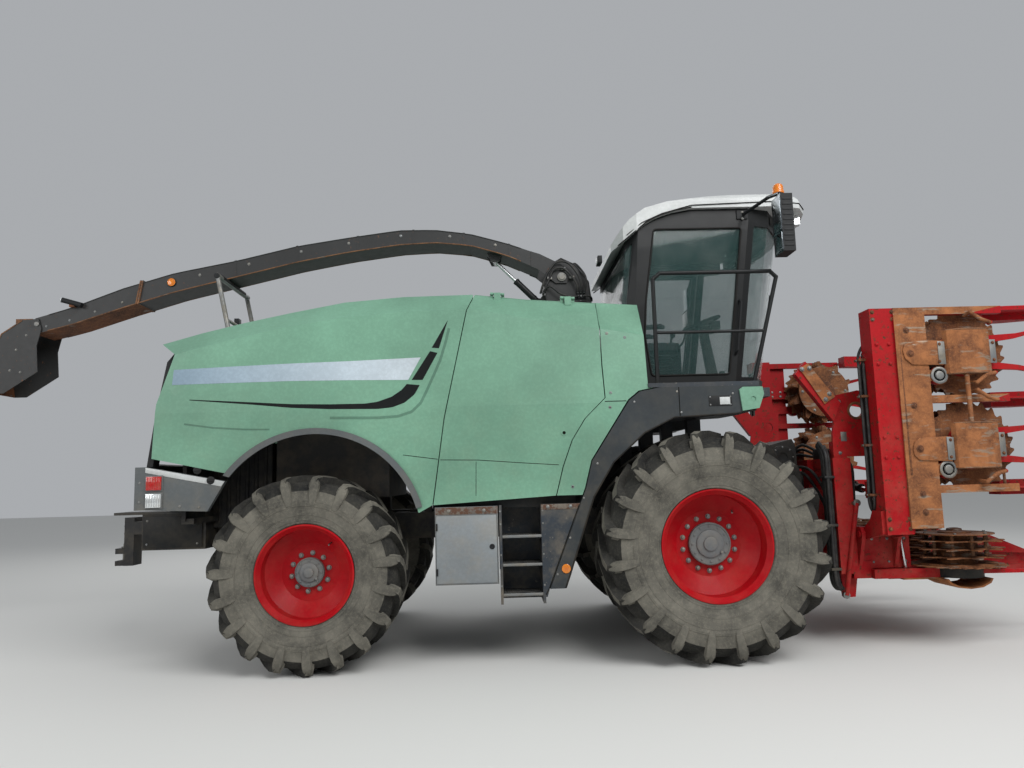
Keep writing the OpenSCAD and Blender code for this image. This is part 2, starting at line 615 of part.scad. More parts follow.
module crop_tower() color([0.25, 0.27, 0.28]) put() {
  difference() {
    union() {
      side_plate([[-1130, 3060], [-1100, 2000], [-890, tower_z], [-600, tower_z], [-660, 2000], [-730, 3060]], -205, 205);
      translate([turret_x, 0, 3050]) cylinder(r = 240, h = turret_z - 3050 - seat);
    }
    side_plate([[-1110, 3040], [-1080, 2010], [-870, tower_z - 10], [-620, tower_z - 10], [-680, 2010], [-750, 3040]], -190, 190);
    translate([turret_x, 0, 3000]) cylinder(r = 190, h = 200);
  }
}
tower_z = 1560 + seat;

module spout_turret() color([0.14, 0.15, 0.16]) put() {
  difference() {
    union() {
      translate([turret_x, 0, turret_z]) cylinder(r = 235, h = 60);
      side_plate([[-1150, 3170], [-1180, 3400], [-1120, 3560], [-1000, 3630], [-860, 3560], [-730, 3380], [-710, 3170]], -158, 158);
      both() side_plate([[ram_x - 35, ram_z - 35], [ram_x + 25, ram_z - 75], [-1050, 3175], [-1050, 3290], [ram_x + 35, ram_z + 55]], 60, 72);
    }
    translate([turret_x, 0, turret_z - 50]) cylinder(r = 190, h = 100);
    side_plate([[-1135, 3160], [-1165, 3400], [-1110, 3545], [-1000, 3612], [-870, 3545], [-745, 3375], [-725, 3160]], -150, 150);
    box(-1300, -1100, -152, 152, 3420, 3530);
  }
  both() cross_pin(lift_x, lift_z, 30, 157, 186);
  cross_pin(ram_x, ram_z, 14, -76, 76);
}
ram_x = -1225;
ram_z = 3215;
ram_eye = [-1650, 0, 3650];
ram_p = [ram_x, 0, ram_z];
ram_u = (ram_eye - ram_p) / norm(ram_eye - ram_p);

// rows: x, height of the chute's top, height of its bottom
CHUTE = [
  [-1220, 3672, 3515], [-1550, 3790, 3665], [-1900, 3890, 3770], [-2250, 3938, 3805], [-2600, 3940, 3790], [-3100, 3875, 3725],
  [-3600, 3800, 3636], [-4200, 3662, 3497], [-4800, 3550, 3358], [-5300, 3405, 3210], [-5800, 3220, 3050], [-6130, 3128, 2972]
];
chute_o = chute_w / 2 + chute_t;

module spout_chute() color([0.17, 0.18, 0.19]) put() {
  difference() {
    side_plate(concat([for (c = CHUTE) [c[0], c[1]]], [for (c = flip(CHUTE)) [c[0], c[2]]]), -chute_o, chute_o);
    side_plate(concat([for (c = CHUTE) [c[0] + (c[0] > -1300 ? 20 : c[0] < -6100 ? -20 : 0), c[1] - chute_t]],
      [for (c = flip(CHUTE)) [c[0] + (c[0] > -1300 ? 20 : c[0] < -6100 ? -20 : 0), c[2] + chute_t]]), -chute_w / 2, chute_w / 2);
  }
  both() difference() {
    side_plate([[-1240, 3520], [-1060, 3370], [-950, 3370], [-930, 3470], [-1000, 3560], [-1210, 3670], [-1300, 3700], [-1300, 3545]], chute_o - chute_t, chute_o + 4);
    cross_pin(lift_x, lift_z, 30.5, 100, 200);
  }
  both() cross_pin(flap_x, flap_z, 12, chute_w / 2, 190);
  // flanges where the end piece is bolted on
  for (x = [-5112, -5130]) difference() {
    side_plate([[x, 3478], [x + 14, 3482], [x - 26, 3250], [x - 40, 3246]], -chute_o - 16, chute_o + 16);
    side_plate([for (c = flip(CHUTE)) [c[0], c[1] - chute_t * 0.5], for (c = CHUTE) [c[0], c[2] + chute_t * 0.5]], -chute_o + 2, chute_o - 2);
  }
  both() side_plate([[-1590, 3680], [-1615, 3625], [-1690, 3625], [-1740, 3728]], 70, 82);
}

module spout_lift_barrel() color([0.15, 0.16, 0.17]) put() difference() {
  union() {
    bar(ram_p, ram_p + ram_u * 320, 32);
    cross_pin(ram_x, ram_z, 34, -56, 56);
  }
  bar(ram_p + ram_u * 70, ram_p + ram_u * 400, 17.3);
  cross_pin(ram_x, ram_z, 14.3, -100, 100);
}
module spout_lift_rod() color([0.75, 0.76, 0.77]) put() {
  bar(ram_p + ram_u * 150, ram_eye, 17);
  cross_pin(ram_eye[0], ram_eye[2], 26, -66, 66);
}

module deflector_flap() color([0.13, 0.13, 0.14]) put() {
  difference() {
    side_plate([[-6090, 3120], [-6250, 3110], [-6440, 2980], [-6555, 2720], [-6510, 2400], [-6390, 2400], [-6080, 2600], [-6100, 2850], [-6060, 3020]], -187, 187);
    side_plate([[-6000, 3150], [-6246, 3102], [-6433, 2975], [-6546, 2718], [-6490, 2300], [-6300, 2300], [-6000, 2600]], -179, 179);
    cross_pin(flap_x, flap_z, 12.3, -300, 300);
  }
}
flap_x = -6105;
flap_z = 3068;

rest_x = -4290;
rest_z = 3471 - 25 / cos(13) - 2;

module spout_cradle() color([0.7, 0.71, 0.72]) put() {
  difference() {
    both() {
      bar([-4135, 430, 2720], [-4290, 430, 3440], 22);
      box(-4200, -4070, 380, 480, 2700, 2790);
    }
    loft([for (r = SKIN) skin_ring(r, -seat)]);
  }
  // brace between the legs
  bar([-4200, -430, 3020], [-4200, 430, 3020], 16);
  // the rest bar, close under the chute
  bar([rest_x, -450, rest_z], [rest_x, 450, rest_z], 25);
}

// crop path and header
pivot_x = 330;
pivot_z = 1000;

module chopper_housing() color([0.3, 0.31, 0.32]) put() {
  side_plate([[215, 640], [480, 600], [560, 700], [560, 1350], [400, 1560], [-900, 1560], [-900, 1100], [-720, 965], [215, 965]], -480, 480);
  both() {
    cross_pin(pivot_x, pivot_z, 45, 470, 530);
    box(-600, -450, 470, front_rail_y - 60 - seat, 1000, 1150);
  }
}

module feeder_house() color([0.15, 0.16, 0.17]) put() {
  difference() {
    side_plate([[600, 1400], [600, 1080], [690, 660], [1150, 600], [1150, 1450]], -470, 470);
    box(900, 1200, -400, 400, 740, 1300);
  }
  // feed rollers in the mouth
  for (r = [[1010, 830, 95], [1010, 1180, 125]]) {
    cross_pin(r[0], r[1], r[2], -402, 402);
    for (a = [0 : 45 : 315]) translate([r[0], 0, r[1]]) rotate([0, a, 0]) box(r[2] - 10, r[2] + 14, -395, 395, -6, 6);
  }
  both() difference() {
    side_plate([[260, 930], [400, 920], [800, 700], [1150, 700], [1150, 1300], [800, 1250], [400, 1090], [260, 1070]], 486, 520);
    cross_pin(pivot_x, pivot_z, 45.5, 400, 600);
  }
  both() box(700, 1100, 460, 490, 800, 1200);
  // drive and hose block on top of the mouth
  side_plate([[760, 1380], [740, 1560], [800, 1690], [1080, 1760], [1110, 1700], [1120, 1400]], -430, 430);
  both() cross_pin(960, 1590, 110, 420, 500);
}

deck_z = 560;
rotor_x = 2125;
back_x = 1150 + seat;

// the two rows of the centre part and of a wing, measured from the machine's centre line
CENTRE_ROWS = [row_pitch * 0.5, row_pitch * 1.5];
WING_ROWS = [row_pitch * 2.5, row_pitch * 3.5];

// a skid shoe below a row, an outline in x and z
SHOE = [[1930, -6], [1950, -40], [2020, -74], [2120, -85], [2220, -74], [2290, -40], [2310, -6], [2296, -2], [2275, -32], [2213, -62], [2120, -73], [2027, -62], [1965, -32], [1944, -2]];

// what carries one row's rotor: an arm, a gear case, a shaft, a skid shoe and two stalk guides
module row_unit(y, x0) translate([0, y, deck_z]) {
  box(x0, 1960, -55, 55, 0, 75);
  translate([rotor_x, 0, 0]) cylinder(r = 190, h = 84);
  translate([rotor_x, 0, 60]) cylinder(r = 40, h = 300);
  side_plate(SHOE, -175, 175);
  box(1640, 1960, -50, 50, -14, 2);
  box(1930, 2310, -30, 30, -12, 6);
  for (g = [-1, 1]) flat_plate([[2190, g * 60], [2190, g * 130], [2560, g * 150], [2780, g * 190], [2780, g * 165], [2560, g * 110]], 30, 62);
}

// a pointed divider between two rows, carried by an arm from x0
module divider(y, x0, arm_w) translate([0, y, deck_z]) {
  box(x0, 2440, -arm_w / 2, arm_w / 2, 0, 60);
  side_plate([[2400, 0], [2400, 330], [2620, 300], [x_front - 50, 20], [x_front, -60], [x_front - 120, -40], [2700, 0]], -6, 6);
  for (g = [-1, 1]) side_plate([[2400, 180], [2400, 330], [2620, 300], [x_front - 300, 135], [2620, 150]], g > 0 ? 5 : -60, g > 0 ? 60 : -5);
}

module header_frame() color([0.62, 0.07, 0.06]) put() {
  box(back_x, 1260, -1120, 1120, 1330, 1450);
  box(back_x, 1260, -1120, 1120, 600, 740);
  both() for (y = [480, 1020]) box(back_x, 1300, y, y + 100, 620, 1560);
  both() for (y = [980]) side_plate([[back_x + 20, 640], [1330, 640], [1290, 400], [back_x + 50, 400]], y, y + 60);
  box(1200, 1300, -1120, 1120, 1480, 1560);
  box(1255, 1420, -1120, 1120, deck_z, 700);
  both() {
    box(1400, 1745, 900, 1110, deck_z + 80, 930);
    box(1330, 1420, 840, 1110, 690, 980);
  }
  both() {
    for (y = CENTRE_ROWS) row_unit(y, 1400);
    box(1545, 1800, 20, 1120, deck_z - 12, deck_z);
    // ears and pin of the fold hinge
    for (x = [1300, 1600]) hinge_ear(x, 30);
    translate([1290, fold_y, fold_z]) rotate([0, 90, 0]) cylinder(r = 25, h = 350);
    box(1300, 1630, fold_y - 120, fold_y - 62, 640, 760);
    divider(row_pitch, 1400, 60);
    // side plate that stands on the outer post, with a hole for the hoses
    difference() {
      side_plate([[1175, 1480], [1290, 1480], [1290, 1570], [1491, 1570], [1529, 2120], [1421, 2134], [1234, 2096], [1180, 1755]], 1060, 1085);
      cross_pin(1400, 1960, 55, 1000, 1200);
    }
    box(1180, 1290, 1000, 1070, 1540, 1700);
    // arm that leans back from the side plate, with a bolted wear plate
    side_plate([[888, 2284], [984, 2391], [1260, 2030], [1190, 1870]], 1040, 1110);
    side_plate([[925, 2330], [1000, 2372], [1212, 2080], [1120, 2020]], 1100, 1122);
    // foot of the fold cylinder
    for (x = [1420, 1522]) box(x, x + 18, cyl_y - 60, cyl_y + 60, cyl_z - 60, 1560);
    box(1290, 1540, cyl_y - 60, cyl_y + 60, 1540, 1560);
    translate([1420, cyl_y, cyl_z]) rotate([0, 90, 0]) cylinder(r = 20, h = 120);
  }
  divider(0, 1400, 60);
}

module hinge_ear(x, t) cross_plate([[fold_y - 120, 640], [fold_y - 120, fold_z + 20], [fold_y - 60, fold_z + 60], [fold_y + 20, fold_z + 60],
  [fold_y + 50, fold_z + 10], [fold_y + 40, fold_z - 40], [fold_y - 60, 640]], x, x + t);

cyl_y = 350;
cyl_z = 1350;
cyl_x = 1480;
// fold cylinder's eye on the wing, measured from the hinge, outward and up with the wing down
eye_v = 350;
eye_w = 60;

// a toothed outline: teeth, root radius, tip radius, how far a tip leans in parts of a tooth
function teeth(n, r0, r1, lean) = [for (i = [0 : n - 1]) each [
  [r0 * cos(i * 360 / n), r0 * sin(i * 360 / n)],
  [r1 * cos((i + lean) * 360 / n), r1 * sin((i + lean) * 360 / n)],
  [r1 * cos((i + lean + 0.15) * 360 / n), r1 * sin((i + lean + 0.15) * 360 / n)],
  [r0 * cos((i + lean + 0.25) * 360 / n), r0 * sin((i + lean + 0.25) * 360 / n)]]];

// a rotor standing on z = 0: saw blade below, then a drum with toothed feed discs
module rotor() difference() {
  union() {
    linear_extrude(8) polygon(teeth(24, rotor_r - 32, rotor_r, 0.5));
    cylinder(r = 150, h = 262);
    cylinder(r = 300, h = 20);
    for (z = [70, 135, 200]) translate([0, 0, z]) linear_extrude(8) polygon(teeth(10, 255, rotor_r - 8, 0.5));
    translate([0, 0, 254]) cylinder(r = 290, h = 8);
  }
  translate([0, 0, -1]) cylinder(r = 40.5, h = 400);
}
rotor_z = deck_z + 92;

module centre_rotor(i) translate([rotor_x, CENTRE_ROWS[i], rotor_z]) rotor();
module rotor_1_left() color([0.45, 0.2, 0.12]) put() centre_rotor(0);
module rotor_2_left() color([0.45, 0.2, 0.12]) put() centre_rotor(1);
module rotor_1_right() color([0.45, 0.2, 0.12]) put() mirror([0, 1, 0]) centre_rotor(0);
module rotor_2_right() color([0.45, 0.2, 0.12]) put() mirror([0, 1, 0]) centre_rotor(1);

// turns what is drawn with the wing down up about the fold hinge
module folded() translate([0, fold_y, fold_z]) rotate([90, 0, 0]) translate([0, -fold_y, -fold_z]) children();

module wing() folded() difference() {
  union() {
    box(1360, 1571, fold_y + 15, row_pitch * 4, deck_z + 10, deck_z + 190);
    for (x = [1335, 1566]) wing_ear(x, 30);
    for (y = WING_ROWS) row_unit(y, 1550);
    box(1545, 1800, fold_y + 60, row_pitch * 4 - 60, deck_z - 12, deck_z + 12);
    bar([2075, WING_ROWS[0], deck_z - 52], [2075, WING_ROWS[1], deck_z - 52], 18);
    divider(row_pitch * 2 + 35, 1550, 60);
    divider(row_pitch * 3, 1550, 60);
    divider(row_pitch * 4 - 30, 1550, 60);
    // bent guard bars beside the dividers, covers of the angle gears
    for (g = [[row_pitch * 2 + 95, 1], [row_pitch * 3 + 50, -1], [row_pitch * 3 + 130, 1], [row_pitch * 4 - 70, -1]])
      tube([[2140, g[0], deck_z + 20], [2150, g[0] - g[1] * 10, deck_z - 55], [2230, g[0] + g[1] * 50, deck_z - 60], [2330, g[0] + g[1] * 70, deck_z - 20], [2345, g[0] + g[1] * 70, deck_z + 25]], 15);
    for (y = [row_pitch * 2 + 190, row_pitch * 3 + 190]) translate([1880, y, deck_z - 8]) cylinder(r = 72, h = 60);
    for (y = [row_pitch * 2 + 190, row_pitch * 3 + 190]) box(1560, 1900, y - 45, y + 45, deck_z, deck_z + 45);
    // plates of the fold cylinder's eye
    for (x = [1430, 1510]) box(x, x + 20, fold_y + eye_v - 60, fold_y + eye_v + 80, deck_z + 180, fold_z + eye_w + 45);
  }
  translate([1300, fold_y, fold_z]) rotate([0, 90, 0]) cylinder(r = 25.5, h = 400);
}

module wing_ear(x, t) cross_plate([[fold_y - 40, fold_z - 20], [fold_y - 40, fold_z + 30], [fold_y + 20, fold_z + 45],
  [fold_y + 120, deck_z + 240], [fold_y + 200, deck_z + 185], [fold_y + 200, deck_z + 40], [fold_y + 20, deck_z + 40]], x, x + t);

module wing_left() color([0.62, 0.07, 0.06]) put() wing();
module wing_right() color([0.62, 0.07, 0.06]) put() mirror([0, 1, 0]) wing();
module wing_rotor(i) folded() translate([rotor_x, WING_ROWS[i], rotor_z]) rotor();
module wing_rotor_1_left() color([0.45, 0.2, 0.12]) put() wing_rotor(0);
module wing_rotor_2_left() color([0.45, 0.2, 0.12]) put() wing_rotor(1);
module wing_rotor_1_right() color([0.45, 0.2, 0.12]) put() mirror([0, 1, 0]) wing_rotor(0);
module wing_rotor_2_right() color([0.45, 0.2, 0.12]) put() mirror([0, 1, 0]) wing_rotor(1);

// the fold cylinder's run from its foot to its eye on the folded wing
eye_y = fold_y - eye_w;
eye_z = fold_z + eye_v;
fold_d = [0, eye_y - cyl_y, eye_z - cyl_z];
fold_u = fold_d / norm(fold_d);
fold_p = [cyl_x, cyl_y, cyl_z];

module fold_barrel() difference() {
  union() {
    bar(fold_p, fold_p + fold_u * 560, 36);
    translate([cyl_x - 40, cyl_y, cyl_z]) rotate([0, 90, 0]) cylinder(r = 42, h = 80);
  }
  bar(fold_p + fold_u * 55, fold_p + fold_u * 600, 22.3);
  translate([1400, cyl_y, cyl_z]) rotate([0, 90, 0]) cylinder(r = 20.4, h = 160);
}
module fold_rod() {
  bar(fold_p + fold_u * 62, fold_p + fold_u * norm(fold_d), 22);
  translate([cyl_x - 29, eye_y, eye_z]) rotate([0, 90, 0]) cylinder(r = 34, h = 58);
}
module fold_barrel_left() color([0.1, 0.1, 0.11]) put() fold_barrel();
module fold_barrel_right() color([0.1, 0.1, 0.11]) put() mirror([0, 1, 0]) fold_barrel();
module fold_rod_left() color([0.75, 0.76, 0.77]) put() fold_rod();
module fold_rod_right() color([0.75, 0.76, 0.77]) put() mirror([0, 1, 0]) fold_rod();

main_frame();
engine_block();
front_axle();
rear_axle_beam();
steering_knuckle_left();
steering_knuckle_right();
tie_rod();
front_tyre_left();
front_tyre_right();
rear_tyre_left();
rear_tyre_right();
front_rim_left();
front_rim_right();
rear_rim_left();
rear_rim_right();
rear_hood();
rear_grille();
rear_bumper();
lamps();
tow_hitch();
side_door_left();
side_door_right();
front_side_panels();
front_fenders();
side_boxes();
access_steps();
cab_platform();
cab_frame();
cab_roof();
cab_glass();
cab_door();
cab_door_glass();
operator_seat();
steering_console();
handrails();
mirrors();
crop_tower();
spout_turret();
spout_chute();
spout_lift_barrel();
spout_lift_rod();
deflector_flap();
spout_cradle();
chopper_housing();
feeder_house();
header_frame();
rotor_1_left();
rotor_2_left();
rotor_1_right();
rotor_2_right();
wing_left();
wing_right();
wing_rotor_1_left();
wing_rotor_2_left();
wing_rotor_1_right();
wing_rotor_2_right();
fold_barrel_left();
fold_rod_left();
fold_barrel_right();
fold_rod_right();
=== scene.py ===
import json
import math
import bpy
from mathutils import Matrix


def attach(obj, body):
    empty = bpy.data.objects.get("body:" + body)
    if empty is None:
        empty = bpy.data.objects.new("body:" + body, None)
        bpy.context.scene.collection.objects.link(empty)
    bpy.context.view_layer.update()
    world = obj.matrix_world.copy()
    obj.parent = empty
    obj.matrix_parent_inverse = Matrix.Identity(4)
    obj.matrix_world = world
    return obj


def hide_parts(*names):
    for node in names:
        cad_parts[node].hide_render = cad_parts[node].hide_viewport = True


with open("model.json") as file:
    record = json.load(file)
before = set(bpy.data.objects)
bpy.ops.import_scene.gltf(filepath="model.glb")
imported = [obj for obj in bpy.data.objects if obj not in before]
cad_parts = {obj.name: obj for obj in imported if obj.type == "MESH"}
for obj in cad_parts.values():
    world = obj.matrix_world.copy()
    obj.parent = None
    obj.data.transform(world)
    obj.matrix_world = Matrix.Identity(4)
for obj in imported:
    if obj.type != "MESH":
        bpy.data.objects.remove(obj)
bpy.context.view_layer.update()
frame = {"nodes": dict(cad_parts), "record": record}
from types import SimpleNamespace as Sizes

import bmesh
import bpy
from mathutils import Matrix, Vector
from mathutils.bvhtree import BVHTree

nodes = frame["nodes"]

# drawn x is measured from the front axle, in millimetres; this moves it into the shared frame, in metres
SHIFT = 1.6275
SIDES = ("left", "right")


def P(x, y, z):
    """A point in drawing millimetres as a vector in the shared frame."""
    return Vector((x / 1000 + SHIFT, y / 1000, z / 1000))


def add(name, data):
    """A new object in the scene."""
    o = bpy.data.objects.new(name, data)
    bpy.context.collection.objects.link(o)
    return o


def add_mesh(name, bm):
    me = bpy.data.meshes.new(name)
    bm.to_mesh(me)
    bm.free()
    return add(name, me)


# camera, solved from the wheels and the upright lines in the photo
CAMERA_AT = (-0.0687, -7.592, 1.4417)
YAW, PITCH, ROLL = 0.023694, 0.125036, -0.026908
FOCAL_PX, PHOTO_WIDTH_PX = 769, 1024


def add_camera():
    level = Vector((math.cos(YAW), -math.sin(YAW), 0))
    ahead = Vector((math.sin(YAW) * math.cos(PITCH), math.cos(YAW) * math.cos(PITCH), math.sin(PITCH)))
    right = level * math.cos(ROLL) + level.cross(ahead) * math.sin(ROLL)
    cam = bpy.data.cameras.new("camera")
    cam.sensor_width = 36
    cam.lens = FOCAL_PX / PHOTO_WIDTH_PX * cam.sensor_width
    cam.clip_end = 200
    o = add("camera", cam)
    m = Matrix((right, right.cross(ahead), -ahead)).transposed().to_4x4()
    m.translation = Vector(CAMERA_AT)
    o.matrix_world = m
    bpy.context.scene.camera = o


# materials; colours are written as 0 to 255 per channel
def srgb(r, g, b):
    """The colour in linear light."""
    return tuple((c / 255 / 12.92) if c <= 10 else ((c / 255 + 0.055) / 1.055) ** 2.4 for c in (r, g, b))


class Mat:
    """A node material with short helpers for building procedural looks."""

    def __init__(self, rough, metal=0.0, **sockets):
        self.m = bpy.data.materials.new("look")
        self.m.use_nodes = True
        self.t = self.m.node_tree
        self.b = self.t.nodes["Principled BSDF"]
        for k, v in dict(Roughness=rough, Metallic=metal, **sockets).items():
            self.put(self.b.inputs[k.replace("_", " ")], v)
        self.co = self.node("TexCoord").outputs["Object"]

    def put(self, sock, v):
        """Links an output to the socket, or sets its value; a colour socket takes a colour or one grey."""
        if isinstance(v, bpy.types.NodeSocket):
            self.t.links.new(v, sock)
        elif sock.type == "RGBA":
            sock.default_value = (*srgb(*v), 1) if isinstance(v, tuple) else (v, v, v, 1)
        else:
            sock.default_value = v

    def node(self, kind, **sockets):
        n = self.t.nodes.new("ShaderNode" + kind)
        for k, v in sockets.items():
            self.put(n.inputs[k.replace("_", " ")], v)
        return n

    def noise(self, scale, detail=4.0, rough=0.55, stretch=None):
        co = self.node("Mapping", Vector=self.co, Scale=stretch).outputs[0] if stretch else self.co
        return self.node("TexNoise", Scale=scale, Detail=detail, Roughness=rough, Vector=co).outputs["Fac"]

    def wave(self, scale, axis):
        n = self.node("TexWave", Scale=scale, Vector=self.co)
        n.bands_direction = axis
        return n.outputs["Fac"]

    def ramp(self, fac, start, stop):
        """Goes from the grey of start to that of stop; both are (position, grey)."""
        n = self.node("ValToRGB", Fac=fac)
        for el, (place, grey) in zip(n.color_ramp.elements, (start, stop)):
            el.position = place
            el.color = (grey, grey, grey, 1)
        return n.outputs["Color"]

    def patches(self, noise, low, high, top=1.0):
        """Soft patches of a noise, 0 below low and top above high."""
        return self.ramp(self.noise(*noise), (low, 0.0), (high, top))

    def mix(self, fac, a, b, kind="MIX"):
        n = self.node("Mix")
        n.data_type = "RGBA"
        n.blend_type = kind
        for k, v in (("Factor", fac), ("A", a), ("B", b)):
            self.put(n.inputs[k], v)
        return n.outputs["Result"]

    def math(self, op, a, b):
        n = self.node("Math")
        n.operation = op
        n.use_clamp = True
        self.put(n.inputs[0], a)
        self.put(n.inputs[1], b)
        return n.outputs[0]

    def along(self, axis, low, high):
        """0 at the place low on the axis, 1 at high, in metres."""
        place = self.node("SeparateXYZ", Vector=self.co).outputs[axis]
        return self.node("MapRange", From_Min=low, From_Max=high, Value=place).outputs[0]

    def bump(self, h, dist, strength):
        n = self.node("Bump", Distance=dist, Strength=strength, Height=h)
        self.put(self.b.inputs["Normal"], n.outputs["Normal"])

    def done(self, color, rough=None, metal=None):
        for k, v in (("Base Color", color), ("Roughness", rough), ("Metallic", metal)):
            if v is not None:
                self.put(self.b.inputs[k], v)
        return self.m


DUST = (146, 132, 108)


def paint(base, rough, dust, coat=0.0, chips=0.0, under=(70, 62, 56), gloss=0.32, to_front=None):
    """Coloured paint with fading, road dust that grows towards the ground, and worn spots.
    to_front is (x0, x1, colour): the colour changes to that one from x0 to x1."""
    m = Mat(rough, Coat_Weight=coat, Specular_IOR_Level=gloss)
    if to_front:
        base = m.mix(m.along("X", *to_front[:2]), base, to_front[2])
    c = m.mix(1.0, base, m.ramp(m.noise(1.3, 3), (0.35, 0.82), (0.7, 1.12)), "MULTIPLY")
    c = m.mix(1.0, c, m.ramp(m.noise(38, 6, 0.7), (0.45, 0.94), (0.62, 1.04)), "MULTIPLY")
    low = m.math("SUBTRACT", 1.0, m.along("Z", 0.2, 2.6))
    dirty = m.math("MULTIPLY", m.patches((5.5, 7, 0.68), 0.42, 0.66), low)
    dirty = m.math("MULTIPLY", m.math("ADD", dirty, 0.08), dust * 1.4)
    c = m.mix(dirty, c, DUST)
    r = m.mix(m.patches((14, 6, 0.7), 0.4, 0.75, 0.35), m.mix(dirty, rough, 0.85), 0.7)
    if chips:
        edge = 0.66 - chips * 0.22
        spot = m.patches((26, 9, 0.75), edge, edge + 0.04)
        m.bump(m.math("SUBTRACT", 1.0, spot), 0.0006, 0.5)
        return m.done(m.mix(spot, c, under), m.mix(spot, r, 0.75))
    m.bump(m.noise(90, 2), 0.0002, 0.25)
    return m.done(c, r)


def rusty(light=(126, 80, 48), dark=(64, 38, 26), bright=(132, 122, 110), polish=0.16):
    """Bare steel, worn bright in places and rusted elsewhere."""
    m = Mat(0.7, Specular_IOR_Level=0.3)
    c = m.mix(m.patches((7, 8, 0.72), 0.35, 0.65), dark, light)
    c = m.mix(m.patches((60, 5, 0.8), 0.5, 0.62, 0.45), c, (160, 106, 64))
    edge = 0.62 - polish * 0.3
    worn = m.math("MULTIPLY", m.patches((9, 6, 0.6, (0.6, 0.6, 3.0)), edge, edge + 0.08), 0.75)
    m.bump(m.noise(120, 6, 0.8), 0.0008, 0.7)
    return m.done(m.mix(worn, c, bright), m.mix(worn, 0.82, 0.42), m.math("MULTIPLY", worn, 0.8))


def rubber(dark, dusty, speck):
    """Tyre rubber, grey with dried dust in soft patches."""
    m = Mat(0.82, Specular_IOR_Level=0.25)
    c = m.mix(m.patches((5, 8, 0.62), 0.28, 0.66), dark, dusty)
    c = m.mix(m.patches((45, 6, 0.8), 0.48, 0.7, speck), c, (132, 127, 114))
    m.bump(m.noise(70, 8, 0.75), 0.0015, 0.6)
    return m.done(c, m.ramp(m.noise(20, 4), (0.3, 0.7), (0.7, 0.95)))


def glass(tint):
    """Thin tinted glass with a faint film of dust."""
    m = Mat(0.03, Alpha=0.3, Coat_Weight=0.15, Coat_Roughness=0.02, Specular_IOR_Level=0.4)
    film = m.patches((3.0, 5, 0.7), 0.4, 0.75, 0.25)
    return m.done(m.mix(film, tint, (150, 160, 155)), m.mix(film, 0.03, 0.3))


def metal(base, rough, dust):
    """Plated metal with fine brushing and dust in patches."""
    m = Mat(rough, 1.0)
    m.bump(m.noise(200, 2, 0.5, (0.2, 1.0, 1.0)), 0.0001, 0.3)
    return m.done(m.mix(m.patches((8, 7, 0.7), 0.42, 0.7, dust), base, DUST),
                  m.ramp(m.noise(15, 5), (0.35, rough), (0.7, min(1.0, rough + 0.3))))


def tread():
    """Dark step plate with a raised pattern of small bars, worn bare on top."""
    m = Mat(0.55)
    co = m.node("Mapping", Vector=m.co, Scale=(1.0, 0.45, 1.0)).outputs[0]
    bar = m.ramp(m.node("TexVoronoi", Scale=46, Vector=co).outputs["Distance"], (0.22, 1.0), (0.34, 0.0))
    c = m.mix(m.patches((9, 6, 0.7), 0.4, 0.7, 0.7), (40, 43, 46), (96, 92, 84))
    m.bump(bar, 0.002, 0.8)
    return m.done(m.mix(m.math("MULTIPLY", bar, 0.5), c, (120, 120, 116)),
                  m.ramp(m.noise(20, 5), (0.35, 0.45), (0.7, 0.8)))


def hose():
    """Black rubber hose with fine ribs of its braid under the cover and light dust."""
    m = Mat(0.55)
    m.bump(m.noise(160, 3, 0.6), 0.0004, 0.5)
    return m.done(m.mix(m.patches((12, 6, 0.7), 0.42, 0.75, 0.5), (24, 24, 25), (84, 80, 72)),
                  m.ramp(m.noise(20, 4), (0.3, 0.5), (0.7, 0.8)))


def cooler():
    """Cooler core: fine upright fins between flat tubes, with chaff caught in them."""
    m = Mat(0.6, 0.4, Specular_IOR_Level=0.3)
    fins = m.wave(28, "Y")
    c = m.mix(fins, (20, 21, 22), (58, 60, 62))
    c = m.mix(m.ramp(m.wave(6, "Z"), (0.72, 0.0), (0.8, 0.7)), c, (40, 42, 44))
    m.bump(fins, 0.002, 0.6)
    return m.done(m.mix(m.patches((9, 7, 0.7), 0.5, 0.72, 0.6), c, (92, 86, 62)))


def lens(base, low=(150, 154, 156), metal=0.35, coat=0.6, through=0.0):
    """Ribbed lens, clear or coloured, over a bright reflector."""
    m = Mat(0.12, metal, Coat_Weight=coat, Transmission_Weight=through)
    ribs = m.wave(60, "Y")
    m.bump(ribs, 0.001, 0.6)
    return m.done(m.mix(m.patches((18, 5, 0.7), 0.45, 0.75, 0.35), m.mix(ribs, base, low), DUST))


